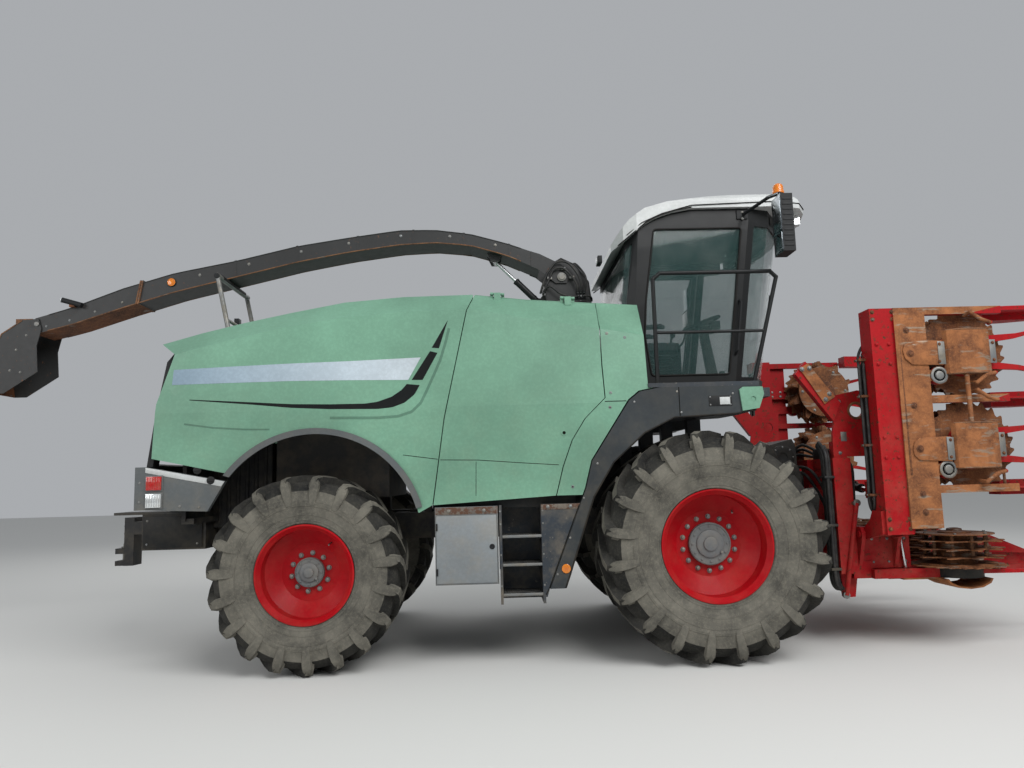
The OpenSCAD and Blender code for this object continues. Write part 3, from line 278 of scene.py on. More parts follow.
MATS = {
    "frame_steel": paint((34, 36, 39), 0.52, 0.22, chips=0.06),
    "engine_iron": paint((60, 60, 62), 0.6, 0.4),
    "hood_green": paint((106, 149, 126), 0.42, 0.1, coat=0.06),
    "black_plastic": paint((22, 25, 28), 0.55, 0.09, gloss=0.24),
    "bumper_grey": paint((84, 89, 91), 0.5, 0.22),
    "fender_grey": paint((44, 50, 54), 0.5, 0.14, gloss=0.26),
    "box_grey": paint((126, 132, 135), 0.4, 0.25),
    "step_steel": paint((36, 46, 56), 0.45, 0.3, chips=0.2, under=(120, 116, 108)),
    "cab_black": paint((17, 20, 22), 0.45, 0.06, coat=0.05, gloss=0.22),
    "roof_white": paint((184, 187, 186), 0.38, 0.12, coat=0.15),
    "cab_glass": glass((58, 84, 82)),
    "seat_cloth": paint((58, 60, 64), 0.9, 0.2),
    "lamp_amber": lens((240, 140, 28), (222, 116, 20), 0.0, 0.3, 0.3),
    "lamp_red": lens((196, 30, 28), (160, 20, 20), 0.0, 0.3, 0.2),
    "zinc_steel": metal((132, 134, 134), 0.5, 0.5),
    "rod_chrome": metal((205, 206, 208), 0.14, 0.15),
    "spout_charcoal": paint((40, 42, 44), 0.48, 0.2, chips=0.2, under=(104, 72, 52)),
    "header_red": paint((156, 12, 22), 0.46, 0.14, chips=0.42, under=(82, 50, 36), gloss=0.12),
    "worn_steel": rusty(),
    "tyre": rubber((54, 53, 49), (106, 103, 94), 0.45),
    # darker rubber for the grooves between the lugs and for the lugs' flanks: painted shade
    "tyre_groove_shade": rubber((18, 19, 20), (52, 51, 47), 0.15),
    "rim_red": paint((160, 4, 18), 0.4, 0.06, coat=0.02, gloss=0.12),
    "hub_grey": paint((98, 102, 104), 0.42, 0.2),
    "rust_plate": rusty((156, 100, 60), (90, 54, 34), (146, 134, 118)),
    "dark_rust": rusty((112, 70, 46), (58, 36, 26), (120, 112, 104), 0.08),
    "worn_strip": paint((92, 86, 82), 0.55, 0.3, chips=0.9, under=(84, 58, 44)),
    "mirror_glass": metal((150, 156, 160), 0.05, 0.05),
    "tread_plate": tread(),
    "seam_dark": paint((16, 18, 18), 0.85, 0.1, gloss=0.1),
    # darker green for the ribbons along the hood's creases: painted shade
    "crease_shade_green": paint((80, 118, 99), 0.38, 0.1, coat=0.15),
    "stripe_grey": paint((128, 150, 166), 0.42, 0.08, gloss=0.2, to_front=(-2.7, -0.7, (184, 194, 200))),
    "stripe_black": paint((12, 16, 18), 0.45, 0.04, gloss=0.15),
    "seal_rubber": paint((22, 22, 23), 0.75, 0.12, gloss=0.2),
    "screen_glass": paint((14, 18, 22), 0.08, 0.05, coat=0.6),
    "cooler_core": cooler(),
    "hose": hose(),
    "lens": lens((214, 218, 218)),
    "weld": rusty((128, 92, 66), (66, 48, 38), (140, 130, 118), 0.1),
}
for name, material in MATS.items():
    material.name = name

# the finishes that most small pieces take
ZINC, BLACK, RUST, WELD, PAD = "zinc_steel", "black_plastic", "dark_rust", "weld", "seal_rubber"


def smooth(o, angle, bevel=False):
    """Shades the object smooth up to the angle between its faces; bevel rounds sharper edges."""
    for p in o.data.polygons:
        p.use_smooth = True
    if bevel:
        b = o.modifiers.new("bevel", "BEVEL")
        # wider than any piece, so that the modifier's clamp sets it by the piece's smallest edge
        b.width = 1.0
        b.segments = 2
        b.limit_method = "ANGLE"
        b.angle_limit = math.radians(40)
    e = o.modifiers.new("edges", "EDGE_SPLIT")
    e.split_angle = math.radians(angle)


for part in frame["record"]["subparts"]:
    o = nodes[part["node"]]
    o.data.materials.clear()
    o.data.materials.append(MATS[part["material_slot"]])
    smooth(o, 28)


# pieces
OUT, FORWARD, BACK, UP = (0, 1, 0), (1, 0, 0), (-1, 0, 0), (0, 0, 1)
TIP = 0.001  # radius at which a turned shape closes to a point


def ring(cx, cy, r, count, first=0.0):
    """count places around a circle, the first one at that angle."""
    turns = [first + k * math.tau / count for k in range(count)]
    return [(cx + r * math.cos(a), cy + r * math.sin(a)) for a in turns]


def rect(x0, z0, x1, z1):
    return [(x0, z0), (x1, z0), (x1, z1), (x0, z1)]


def smooth_line(pts, n):
    """A soft curve through the points, with n steps between two of them."""
    v = [Vector(p) for p in pts]
    out = []
    for i in range(len(v) - 1):
        a, b, c, d = v[max(i - 1, 0)], v[i], v[i + 1], v[min(i + 2, len(v) - 1)]
        for t in (k / n for k in range(n)):
            out.append(0.5 * ((2 * b) + (c - a) * t + (2 * a - 5 * b + 4 * c - d) * t * t
                              + (3 * b - a - 3 * c + d) * t ** 3))
    out.append(v[-1])
    return out


class Piece:
    """Collects drawn geometry in drawing millimetres and turns it into one object that rides on a body.
    Everything is drawn as on the left; a piece of the right side has its y turned over."""

    def __init__(self, name, side=None):
        self.name = name + "_" + side if side else name
        self.s = -1 if side == "right" else 1
        self.bm = bmesh.new()
        self.slots = []

    def sides(self):
        """A loop over this draws on the right side, then on the left."""
        for self.s in (-1, 1):
            yield self.s

    def at(self, p):
        return (p[0], self.s * p[1], p[2])

    def skin(self, rows, mat, closed=True, ends=(True, True)):
        """Faces over rows of points; closed joins the last point of a row with its first."""
        vs = [[self.bm.verts.new(P(*p)) for p in r] for r in rows]
        n = len(vs[0])
        faces = []
        for a, b in zip(vs, vs[1:]):
            for j in range(n if closed else n - 1):
                k = (j + 1) % n
                faces.append(self.bm.faces.new((a[j], a[k], b[k], b[j])))
        faces += [self.bm.faces.new(vs[i]) for i, shut in zip((0, -1), ends) if shut]
        if mat not in self.slots:
            self.slots.append(mat)
        for f in faces:
            f.material_index = self.slots.index(mat)

    def grid(self, rows, mat):
        self.skin([[self.at(p) for p in r] for r in rows], mat, False, ())

    def box(self, x0, x1, y0, y1, z0, z1, mat=BLACK):
        base = ((x0, y0), (x1, y0), (x1, y1), (x0, y1))
        self.skin([[self.at((x, y, z)) for x, y in base] for z in (z0, z1)], mat)

    def plate(self, pts, y0, y1, mat):
        """An outline in x and z, from y0 to y1."""
        self.skin([[(x, y, z) for x, z in pts] for y in sorted((self.s * y0, self.s * y1))], mat)

    def tube(self, pts, r, mat, seg=10, ends=True):
        """A round tube along the points; r is one radius or one per point."""
        pts = [Vector(self.at(p)) for p in pts]
        rs = r if hasattr(r, "__len__") else [r] * len(pts)
        up = None
        rows = []
        for i, p in enumerate(pts):
            d = (pts[min(i + 1, len(pts) - 1)] - pts[max(i - 1, 0)]).normalized()
            if up is None:
                up = d.orthogonal().normalized()
            up = (up - d * up.dot(d)).normalized()
            side = d.cross(up)
            rows.append([p + (up * u + side * v) * rs[i] for u, v in ring(0, 0, 1, seg)])
        self.skin(rows, mat, True, (ends, ends))

    def rod(self, p, q, r, mat=ZINC, seg=16):
        self.tube([p, q], r, mat, seg)

    def hose(self, pts, r, steps=8, seg=12):
        self.tube(smooth_line(pts, steps), r, "hose", seg)

    def lathe(self, centre, profile, mat, seg=32, ends=True, axis=OUT):
        """Turns the profile, rows of (radius, distance along axis), about the axis through centre."""
        axis = Vector(self.at(axis)).normalized()
        u = axis.orthogonal().normalized()
        w = axis.cross(u)
        c = Vector(self.at(centre))
        rows = [[c + axis * z + (u * a + w * b) * r for a, b in ring(0, 0, 1, seg)] for r, z in profile]
        self.skin(rows, mat, True, [ends and profile[i][0] > 0.01 for i in (0, -1)])

    def bolt(self, p, r, mat=ZINC, h=None, axis=OUT):
        """A hexagon head on a washer, standing on the point p."""
        h = h or r * 0.8
        self.lathe(p, [(r * 1.35, -1), (r * 1.35, r * 0.2)], mat, 14, True, axis)
        self.lathe(p, [(r, 0), (r, h), (r * 0.75, h + r * 0.12)], mat, 6, True, axis)

    def bolts(self, places, y, r, mat=ZINC, h=None):
        """Bolts at places in x and z on a side face at y."""
        for x, z in places:
            self.bolt((x, y, z), r, mat, h)

    def done(self, body, bevel=False, angle=40):
        bmesh.ops.remove_doubles(self.bm, verts=self.bm.verts, dist=1e-6)
        bmesh.ops.recalc_face_normals(self.bm, faces=self.bm.faces)
        o = add_mesh(self.name, self.bm)
        for s in self.slots:
            o.data.materials.append(MATS[s])
        smooth(o, angle, bevel)
        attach(o, body)


# faces of one CAD node that take another finish
def repaint(node, mat, test):
    """The test gets a face's middle in drawing millimetres, with |y| for y, and its normal."""
    o = nodes[node]
    o.data.materials.append(MATS[mat])
    for p in o.data.polygons:
        if test((p.center.x - SHIFT) * 1000, abs(p.center.y) * 1000, p.center.z * 1000, p.normal):
            p.material_index = len(o.data.materials) - 1


# wheels: place of the axle, whose height r is the tyre's radius; half the tyre's width, radius of its bead;
# hub cap, its face and where its grey starts; wheel nuts, their circle and face; circle of the valve
WHEELS = {
    "front": Sizes(x=0, r=900, half=400, bead=437, hub=166, hub_face=1365, grey_from=1325,
                   nuts=14, nut_ring=214, nut_face=1322, valve=330),
    "rear": Sizes(x=-3190, r=765, half=300, bead=384, hub=113, hub_face=1345, grey_from=1303,
                  nuts=10, nut_ring=150, nut_face=1302, valve=290)}
TYRE_Y = 1250
# outlines of the hub's cap and rim: shares of the hub's radius, and heights
HUB_CAP = ((0.66, -2), (0.65, 12), (0.6, 16), (0.34, 17), (0.33, 30), (0.28, 33))
HUB_EDGE = ((0.985, -2), (0.985, 4), (0.95, 6), (0.93, 2))


def groove(w, x, z, n):
    """Faces between the lugs and the lugs' flanks, which take the darker rubber as painted shade."""
    dx, dz = (x - w.x) / 1000, (z - w.r) / 1000
    r = math.hypot(dx, dz)
    radial = (n.x * dx + n.z * dz) / max(r, 1e-6)
    along = math.sqrt(max(0.0, 1 - radial ** 2 - n.y ** 2))
    return r * 1000 >= w.r * 0.8 and (along > 0.7 or (radial > 0.45 and r * 1000 < w.r - 30))


def wheel_nuts(end, side, w):
    pc = Piece(end + "_wheel_nuts", side)
    pc.bolts(ring(w.x, w.r, w.nut_ring, w.nuts, 0.2), w.nut_face, 15, ZINC, 20)
    pc.bolts(ring(w.x, w.r, w.hub * 0.84, w.nuts - 2), w.hub_face, 8, "hub_grey", 7)
    pc.lathe((w.x, w.hub_face, w.r), [(w.hub * f, h) for f, h in HUB_CAP] + [(TIP, 33)], "hub_grey", 40)
    pc.lathe((w.x, w.hub_face, w.r), [(w.hub * f, h) for f, h in HUB_EDGE], "hub_grey", 48, False)
    x, z = w.x + w.nut_ring * 0.4, w.r - w.nut_ring * 0.3
    pc.rod((x, w.hub_face + 14, z), (x, w.hub_face + 26, z), 11, ZINC, 6)
    stem = ((0.6, 30, 0.8), (0.56, 62, 0.75), (0.55, 80, 0.73))
    pc.tube([(w.x + w.valve * a, w.nut_face + y, w.r + w.valve * b) for a, y, b in stem], 6, ZINC, 8)
    pc.done("%s_wheel_%s" % (end, side), False, 35)


def tyre_ribs(end, side, w):
    """Ribs moulded into the sidewall, which is drawn as two cones."""
    pc = Piece(end + "_tyre_ribs", side)
    inner, middle = (w.bead + 8, w.half * 0.87), (w.r * 0.72, w.half * 0.985)
    outer = (w.r * 0.84, w.half * 0.96)
    ribs = ((w.bead + 14, 3), (w.bead + 34, 2.5), (w.r * 0.60, 2), (w.r * 0.69, 2.5), (w.r * 0.735, 2.5))
    for r, h in ribs:
        p, q = (inner, middle) if r <= middle[0] else (middle, outer)
        y = p[1] + (q[1] - p[1]) * (r - p[0]) / (q[0] - p[0]) + TYRE_Y
        pc.lathe((w.x, y, w.r), [(r - 5, -3), (r - 2.5, h), (r + 2.5, h), (r + 5, -3)], "tyre", 72, False)
    pc.done("%s_wheel_%s" % (end, side), False, 60)


# a lug's foot from the tread down: share of the tyre's radius, half the foot's width, and the heights of its
# back and its rim as shares of half the tyre's width
FOOT = ((0.965, 20, 0.91, 0.8), (0.93, 28, 0.985, 0.85), (0.89, 33, 1.014, 0.92), (0.84, 32, 1.02, 0.95),
        (0.79, 29, 1.018, 0.965), (0.745, 25, 1.008, 0.975), (0.70, 17, 0.985, 0.965))


def lug_feet(end, side, w):
    """The lugs' feet, which run out on the outer sidewall, where the tyre's lugs end."""
    pc = Piece(end + "_tyre_feet", side)
    ends = []
    for v in nodes["%s_tyre_%s" % (end, side)].data.vertices:
        x, y, z = v.co.x * 1000 - SHIFT * 1000 - w.x, pc.s * v.co.y * 1000 - TYRE_Y, v.co.z * 1000 - w.r
        if y > w.half * 0.97 and 0.87 < math.hypot(x, z) / w.r < 0.93:
            ends.append(math.atan2(z, x))
    ends.sort()
    lugs = [[ends[0]]]
    for a in ends[1:]:
        if a - lugs[-1][-1] > 0.1:
            lugs.append([])
        lugs[-1].append(a)
    for lug in lugs:
        a = sum(lug) / len(lug)
        u, v = math.cos(a), math.sin(a)
        rows = []
        for f, half, back, rim in FOOT:
            across = ((-half * 1.25, rim), (-half, back), (half, back), (half * 1.25, rim))
            rows.append([(w.x + u * f * w.r - v * q, TYRE_Y + w.half * h, w.r + v * f * w.r + u * q)
                         for q, h in across])
        pc.grid(rows, "tyre")
    pc.done("%s_wheel_%s" % (end, side), False, 30)


for side in SIDES:
    for end, w in WHEELS.items():
        repaint("%s_rim_%s" % (end, side), "hub_grey",
                lambda x, y, z, n: math.hypot(x - w.x, z - w.r) < w.hub + 4 and y > w.grey_from)
        # the grooves and the lugs' flanks take the darker rubber: painted shade
        repaint("%s_tyre_%s" % (end, side), "tyre_groove_shade", lambda x, y, z, n: groove(w, x, z, n))
        wheel_nuts(end, side, w)
        tyre_ribs(end, side, w)
    # bare plates and shoes of the folded wings, which lie outermost
    repaint("wing_" + side, "rust_plate",
            lambda x, y, z, n: y > 1538 and 1544 < x < 2320 and not (x < 1600 and z < 1000))
repaint("header_frame", "rust_plate",
        lambda x, y, z, n: (x > 1540 and z < 562) or (y > 1110.5 and x < 1214 and z > 2015))
repaint("header_frame", BLACK, lambda x, y, z, n: 1934 < x < 2320 and 560 < z < 650 and abs(n.z) < 0.5
        and abs(y - 750) > 200 and y > 60)
repaint("lamps", "lamp_red", lambda x, y, z, n: x < -4500 and z > 1412)
repaint("lamps", "lens", lambda x, y, z, n: x < -4500 and z < 1412 or (x > 1100 and z < 3900))
repaint("lamps", BLACK, lambda x, y, z, n: 3900 < z < 4069)
repaint("mirrors", "mirror_glass", lambda x, y, z, n: n.x < -0.9 and y > 1430)
repaint("spout_chute", RUST, lambda x, y, z, n: x < -5120 and n.z < -0.5)
repaint("spout_chute", WELD, lambda x, y, z, n: -5190 < x < -5080 and y > 174.5)
repaint("deflector_flap", RUST, lambda x, y, z, n: y < 178.5)
for node in ("cab_platform", "access_steps"):
    repaint(node, "tread_plate", lambda x, y, z, n: n.z > 0.9)


# marks, seams and screws on the body's sides
def face_tree(*names):
    vs, fs = [], []
    for n in names:
        k = len(vs)
        me = nodes[n].data
        vs += [v.co.copy() for v in me.vertices]
        fs += [[i + k for i in p.vertices] for p in me.polygons]
    return BVHTree.FromPolygons(vs, fs)


TREES = {k: face_tree(*v.split()) for k, v in {
    "hood": "rear_hood", "door_left": "side_door_left", "door_right": "side_door_right",
    "front": "front_side_panels", "fender": "front_fenders", "steps": "access_steps side_boxes"}.items()}


def on_side(pc, tree, x, z):
    """y of the body's outer face at x and z, on the piece's side; None off the face."""
    hit = TREES[tree].ray_cast(P(x, pc.s * 2500, z), Vector((0, -pc.s, 0)))
    return pc.s * hit[0].y * 1000 if hit[0] else None


def resample(line, n):
    """n + 1 points along a polyline, evenly spaced."""
    v = [Vector(p) for p in line]
    d = [0.0]
    for a, b in zip(v, v[1:]):
        d.append(d[-1] + (b - a).length)
    out = []
    for i in range(n + 1):
        t = d[-1] * i / n
        k = min(max(j for j in range(len(d)) if d[j] <= t + 1e-9), len(v) - 2)
        out.append(v[k].lerp(v[k + 1], (t - d[k]) / max(d[k + 1] - d[k], 1e-9)))
    return out


def decal(pc, tree, low, high, mat, cols=60, rows=4, lift=1.2):
    """A thin skin on the body's side between two lines of (x, z)."""
    grid = []
    for a, b in zip(resample(low, cols), resample(high, cols)):
        row = [a.lerp(b, j / rows) for j in range(rows + 1)]
        ys = [on_side(pc, tree, p.x, p.y) for p in row]
        if None not in ys:
            grid.append([(p.x, y + lift, p.y) for p, y in zip(row, ys)])
    if len(grid) > 1:
        pc.grid(grid, mat)


def seam(pc, tree, line, mat="seam_dark", width=5, cols=80):
    """A narrow line along the body's side; it draws the dark seams and the painted shade along the creases.
    """
    pts = resample(line, cols)
    lo, hi = [], []
    for i, p in enumerate(pts):
        d = (pts[min(i + 1, cols)] - pts[max(i - 1, 0)]).normalized()
        half = Vector((-d.y, d.x)) * width / 2
        lo.append(tuple(p - half))
        hi.append(tuple(p + half))
    decal(pc, tree, lo, hi, mat, cols, 1, 0.8)


STRIPE_TOP = [(-4288, 2406), (-3831, 2421), (-3334, 2435), (-2862, 2443), (-2288, 2460)]
STRIPE_LOW = [(-4295, 2281), (-3828, 2286), (-3338, 2290), (-2862, 2285), (-2391, 2276)]
SWEEP_TOP = [(-4145, 2157), (-3662, 2124), (-3328, 2100), (-3021, 2091), (-2740, 2090), (-2640, 2102),
             (-2525, 2141), (-2444, 2195), (-2403, 2242)]
SWEEP_LOW = [(-4145, 2151), (-3662, 2106), (-3328, 2070), (-3021, 2052), (-2640, 2044), (-2520, 2054),
             (-2420, 2090), (-2340, 2155), (-2298, 2231)]
LONG_CREASE = [(-3021, 1981), (-2640, 1972), (-2475, 1980), (-2363, 2015), (-2290, 2085), (-2239, 2189),
               (-2180, 2320), (-2130, 2433), (-2085, 2580), (-2055, 2700)]
REAR_CREASE = [(-4180, 1960), (-3950, 1925), (-3700, 1905), (-3500, 1900)]
SCREWS = [(-749, 2129), (-525, 2129), (-755, 2628), (-607, 2591), (-760, 2011), (-1086, 1381)]
LATCH, MARKER = (-1140, 1814), (-1160, 742)


def hood_stripes(side):
    m = Piece("hood_stripes", side)
    decal(m, "hood", STRIPE_LOW, STRIPE_TOP, "stripe_grey")
    decal(m, "hood", SWEEP_LOW, SWEEP_TOP, "stripe_black", 80, 3)
    decal(m, "hood", [(-2363, 2275), (-2274, 2273)], [(-2212, 2511), (-2152, 2495)], "stripe_black", 6, 10)
    decal(m, "hood", [(-2198, 2539), (-2139, 2533)], [(-2068, 2763), (-2064, 2767)], "stripe_black", 6, 10)
    # darker green ribbons along the two creases: painted shade of the creases' steps
    seam(m, "hood", LONG_CREASE, "crease_shade_green", 22)
    seam(m, "hood", REAR_CREASE, "crease_shade_green", 14)
    seam(m, "hood", [(-2437, 1669), (-2160, 1628)])
    m.done("chassis")


def side_door_trim(side):
    d = Piece("side_door_trim", side)
    door = "door_" + side
    seam(d, door, [(-2140, 1622), (-1838, 1613), (-1454, 1579), (-1190, 1558)])
    seam(d, door, [(-1854, 1600), (-1860, 1330)], width=4)
    x, z = LATCH
    y = on_side(d, door, x, z)
    d.lathe((x, y - 2, z), [(26, 0), (25, 5), (14, 6), (13, 2), (TIP, 2)], "hood_green", 24)
    d.box(x - 3, x + 3, y - 3, y + 3, z - 10, z + 10, "seam_dark")
    d.done("side_door_" + side)


def side_panel_screws(side):
    f = Piece("side_panel_screws", side)
    seam(f, "front", [(-800, 2060), (-600, 2060), (-545, 2100)], width=7)
    for x, z in SCREWS:
        y = on_side(f, "front", x, z)
        if y:
            f.lathe((x, y - 1, z), [(13, 0), (12, 3), (6, 4), (5, 1), (TIP, 1)], ZINC, 16)
    f.done("chassis")


def side_marker(side):
    r = Piece("side_marker", side)
    x, z = MARKER
    y = on_side(r, "fender", x, z) or on_side(r, "steps", x, z)
    r.lathe((x, y, z), [(36, -1), (36, 6), (33, 9), (TIP, 11)], "lamp_amber")
    r.done("chassis", False, 35)


for side in SIDES:
    hood_stripes(side)
    side_door_trim(side)
    side_panel_screws(side)
    side_marker(side)
for side in SIDES:
    for end, w in WHEELS.items():
        lug_feet(end, side, w)


# cab
SIDE_GLASS = [(-222, 3660), (576, 3660), (388, 2325), (-302, 2325), (-346, 2685), (-322, 2995)]
ROOF_SEAM = [(-470, 912, 3606), (-330, 944, 3712), (-150, 950, 3790), (120, 952, 3862), (900, 952, 3884),
             (1132, 880, 3884), (1232, 722, 3884), (1302, 452, 3884)]
GUTTER = [(-548, 880, 3520), (-424, 926, 3614), (-300, 946, 3710), (-209, 950, 3760), (-60, 951, 3812),
          (120, 951, 3843)]
LAMP_X, LAMP_Z, LAMP_YS = 1209, 3797, (330, 620)
CUSHION_AT, BACKREST_AT, RECLINE = (-88, 0, 2682), (-318, 0, 2990), 80


def rounded(pts, r, n=5):
    """The outline with its corners cut by small arcs."""
    out = []
    for i, corner in enumerate(pts):
        a, b, c = Vector(pts[i - 1]), Vector(corner), Vector(pts[(i + 1) % len(pts)])
        p, q = b + (a - b).normalized() * r, b + (c - b).normalized() * r
        for t in (j / n for j in range(n + 1)):
            w = (1 - t) ** 2 * p + 2 * t * (1 - t) * b + t * t * q
            out.append((w.x, w.y))
    return out


def window_seal(pc, y):
    edge = [(x, y, z) for x, z in rounded(SIDE_GLASS, 30)]
    pc.tube(edge + edge[:1], 9, PAD, 8, False)


def wiper(pc):
    """Both ends of the blade and the arm lie on the windscreen."""
    screen = face_tree("cab_glass")

    def on_screen(y, z, off):
        hit = screen.ray_cast(P(1700, y, z), Vector(BACK))
        return ((hit[0].x - SHIFT) * 1000 + off, y, z)

    blade = [on_screen(-120 - 30 * k, 2520 + 62 * k, 14) for k in range(11)]
    pc.tube(blade, 7, BLACK, 8)
    pc.tube([(x + 10, y, z) for x, y, z in blade[1:-1]], 5, "seam_dark", 8)
    arm = [on_screen(40 - 28 * k, 2420 + 52 * k, 30 if k < 8 else 26) for k in range(9)]
    pc.tube(arm, 9, BLACK, 8)
    pc.lathe(arm[0], [(26, -34), (26, 8), (20, 14), (TIP, 14)], BLACK, 24, axis=FORWARD)
    pc.rod(arm[-1], blade[5], 8, BLACK, 10)


def cab_trim():
    g = Piece("cab_trim")
    window_seal(g, -901)
    # seam round the roof shell above the lamps, gutter band under it
    for _ in g.sides():
        g.tube(ROOF_SEAM, 5, "seam_dark", 6)
        g.tube(GUTTER, 6, PAD, 8)
    g.tube([(1302, -452, 3884), (1303, 452, 3884)], 5, "seam_dark", 6)
    # air outlets on the flat top
    for _ in g.sides():
        for k in range(7):
            g.box(880 + k * 30, 896 + k * 30, 250, 480, 3989, 3993)
    # work lamps under the roof: rims, lenses, brackets
    for _ in g.sides():
        for y in LAMP_YS:
            g.lathe((LAMP_X, y, LAMP_Z), [(39, -4), (42, 0), (42, 10), (36, 13)], BLACK, 32, False, FORWARD)
            g.lathe((LAMP_X, y, LAMP_Z), [(36, 5), (36, 9), (20, 13), (TIP, 14)], "lens", 28, axis=FORWARD)
            g.rod((1170, y - 30, 3770), (1170, y - 30, 3742), 8, ZINC, 10)
        g.box(-708, -668, 560, 700, 3420, 3488)
        g.lathe((-707, 630, 3454), [(30, -2), (30, 4), (24, 7), (TIP, 7)], "lens", 24, axis=BACK)
    wiper(g)
    # outside handle on the right window's frame
    g.tube([(452, -906, 2500), (462, -940, 2530), (520, -940, 2960), (516, -906, 2990)], 11, BLACK, 12)
    g.done("chassis", True, 50)


def cab_door_trim():
    d = Piece("cab_door_trim")
    window_seal(d, 899)
    # latch and handle
    d.box(412, 458, 897, 912, 2395, 2560)
    d.tube([(425, 906, 2420), (430, 938, 2432), (448, 938, 2540), (442, 906, 2552)], 9, BLACK, 12)
    for z in (2541, 3291):
        for x in (-290, -272):
            d.bolt((x, 910, z + 20), 5)
    d.done("cab_door", True, 50)


SWELL = 0.014  # metres that the stuffing may push a pad's skin out at most


def swollen(o):
    c = o.modifiers.new("blow", "CLOTH")
    c.settings.use_pressure = True
    c.settings.uniform_pressure_force = 4
    c.settings.effector_weights.gravity = 0
    c.settings.quality = 4
    for f in range(1, 19):
        bpy.context.scene.frame_set(f)
    e = o.evaluated_get(bpy.context.evaluated_depsgraph_get())
    moved = [v.co.copy() for v in e.to_mesh().vertices]
    e.to_mesh_clear()
    o.modifiers.clear()
    bpy.context.scene.frame_set(1)
    return moved


def bump_at(x, place, width):
    """A soft hump, 1 high at the place."""
    return math.exp(-((x - place) / width) ** 2)


def cushion(name, size, channels, place):
    """A stuffed pad: a rounded block blown up by cloth pressure, with sewn channels pressed in afterwards.
    size is its length, width and thickness in millimetres; place puts it where it belongs."""
    lx, ly, lz = (v / 1000 for v in size)
    bm = bmesh.new()
    bmesh.ops.create_cube(bm, size=1)
    for v in bm.verts:
        v.co = Vector((v.co.x * lx * 0.94, v.co.y * ly * 0.94, v.co.z * lz * 0.74))
    o = add_mesh(name, bm)
    b = o.modifiers.new("round", "BEVEL")
    b.width, b.segments = lz * 0.3, 5
    r = o.modifiers.new("grid", "REMESH")
    r.mode, r.voxel_size = "VOXEL", 0.009
    rest = bpy.data.meshes.new_from_object(o.evaluated_get(bpy.context.evaluated_depsgraph_get()))
    o.modifiers.clear()
    o.data = rest
    start = [v.co.copy() for v in rest.vertices]
    for v, a, q in zip(rest.vertices, start, swollen(o)):
        d = q - a
        v.co = a + d * min(1.0, SWELL / max(d.length, 1e-6))
    for v in rest.vertices:
        p = v.co.copy()
        if p.z > 0:
            for ch in channels:
                v.co.z -= 0.011 * bump_at(p.x, ch / 1000, 0.010)
            # side bolsters stand up
            v.co.z += 0.012 * bump_at(abs(p.y), ly * 0.38, 0.035)
        # the welt between the two faces is drawn in
        v.co.y *= 1 - 0.014 * bump_at(p.z, 0, 0.012)
    rest.transform(place)
    for p in rest.polygons:
        p.use_smooth = True
    rest.materials.append(MATS["seat_cloth"])
    s = o.modifiers.new("soft", "SUBSURF")
    s.levels = s.render_levels = 1
    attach(o, "chassis")


def seat_frame():
    f = Piece("seat_frame")
    f.box(-250, 90, -170, 170, 2301, 2330)
    # bellows
    for k in range(6):
        t = 4 * (k % 2)
        f.box(-230 + t, 70 - t, -150 + t, 150 - t, 2332 + k * 44, 2372 + k * 44, PAD)
    f.box(-300, 120, -205, 205, 2598, 2624)
    for _ in f.sides():
        f.box(-330, -300, 120, 150, 2600, 2800)
        arm = [(-360, 250, 2800), (-330, 262, 2880), (-60, 262, 2892), (-20, 262, 2880)]
        f.tube(arm, [16, 22, 26, 18], "seat_cloth", 12)
    f.done("chassis", True)
    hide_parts("operator_seat")


def cab_controls():
    c = Piece("cab_controls")
    # armrest with the drive lever, its keys, and the screen on its stalk
    c.box(40, 250, 300, 460, 2799, 2822, "seat_cloth")
    c.tube([(180, 380, 2815), (186, 380, 2870), (200, 376, 2905)], [13, 11, 15], BLACK, 14)
    knob = [(14, -22), (27, -10), (29, 12), (22, 32), (10, 40), (TIP, 41)]
    c.lathe((204, 375, 2915), knob, BLACK, 24, axis=(0.15, 0, 1))
    c.tube(smooth_line([(252, 430, 2780), (330, 440, 2860), (372, 430, 3010)], 4), 11, BLACK, 10)
    c.box(366, 392, 318, 560, 3010, 3190)
    c.box(362, 367, 330, 548, 3024, 3176, "screen_glass")
    for k in range(8):
        c.box(60 + k * 22, 74 + k * 22, 312, 328, 2822, 2828, "lens" if k % 3 else "lamp_amber")
    # dashboard pod behind the wheel, pedals, floor mat with ribs
    c.box(470, 560, -150, 150, 2880, 2960)
    c.box(462, 471, -120, 120, 2893, 2950, "screen_glass")
    for y in (-200, 130):
        c.box(520, 560, y, y + 70, 2340, 2450)
    for k in range(14):
        c.box(-180 + k * 48, -156 + k * 48, -250, 250, 2296, 2305, PAD)
    # sun blind roll under the roof, inner mirror
    c.rod((900, -560, 3690), (900, 560, 3690), 24, BLACK)
    c.tube([(800, 0, 3700), (820, 0, 3640), (830, 0, 3600)], 8, BLACK, 8)
    c.box(826, 838, -110, 110, 3560, 3620, "mirror_glass")
    c.done("chassis", True)


def mirror_ribs(side):
    m = Piece("mirror_ribs", side)
    for z in range(3245, 3245 + 11 * 43, 43):
        m.box(757, 764, 1452, 1628, z, z + 20)
    for z in range(3258, 3258 + 10 * 43, 43):
        m.box(672, 748, 1638, 1643, z, z + 16)
    for z0, z1 in ((3400, 3688), (3232, 3380)):
        m.box(655, 661, 1452, 1628, z0, z1, "mirror_glass")
    m.bolts(((590, 3740), (590, 3800)), 914, 9)
    m.done("chassis", True)


cab_trim()
cab_door_trim()
cushion("seat_cushion", (470, 470, 118), (-110, 0, 110), Matrix.Translation(P(*CUSHION_AT)))
cushion("seat_backrest", (540, 450, 112), (-170, -60, 60, 170),
        Matrix.Translation(P(*BACKREST_AT)) @ Matrix.Rotation(math.radians(RECLINE), 4, "Y"))
seat_frame()
cab_controls()
for side in ("right", "left"):
    mirror_ribs(side)


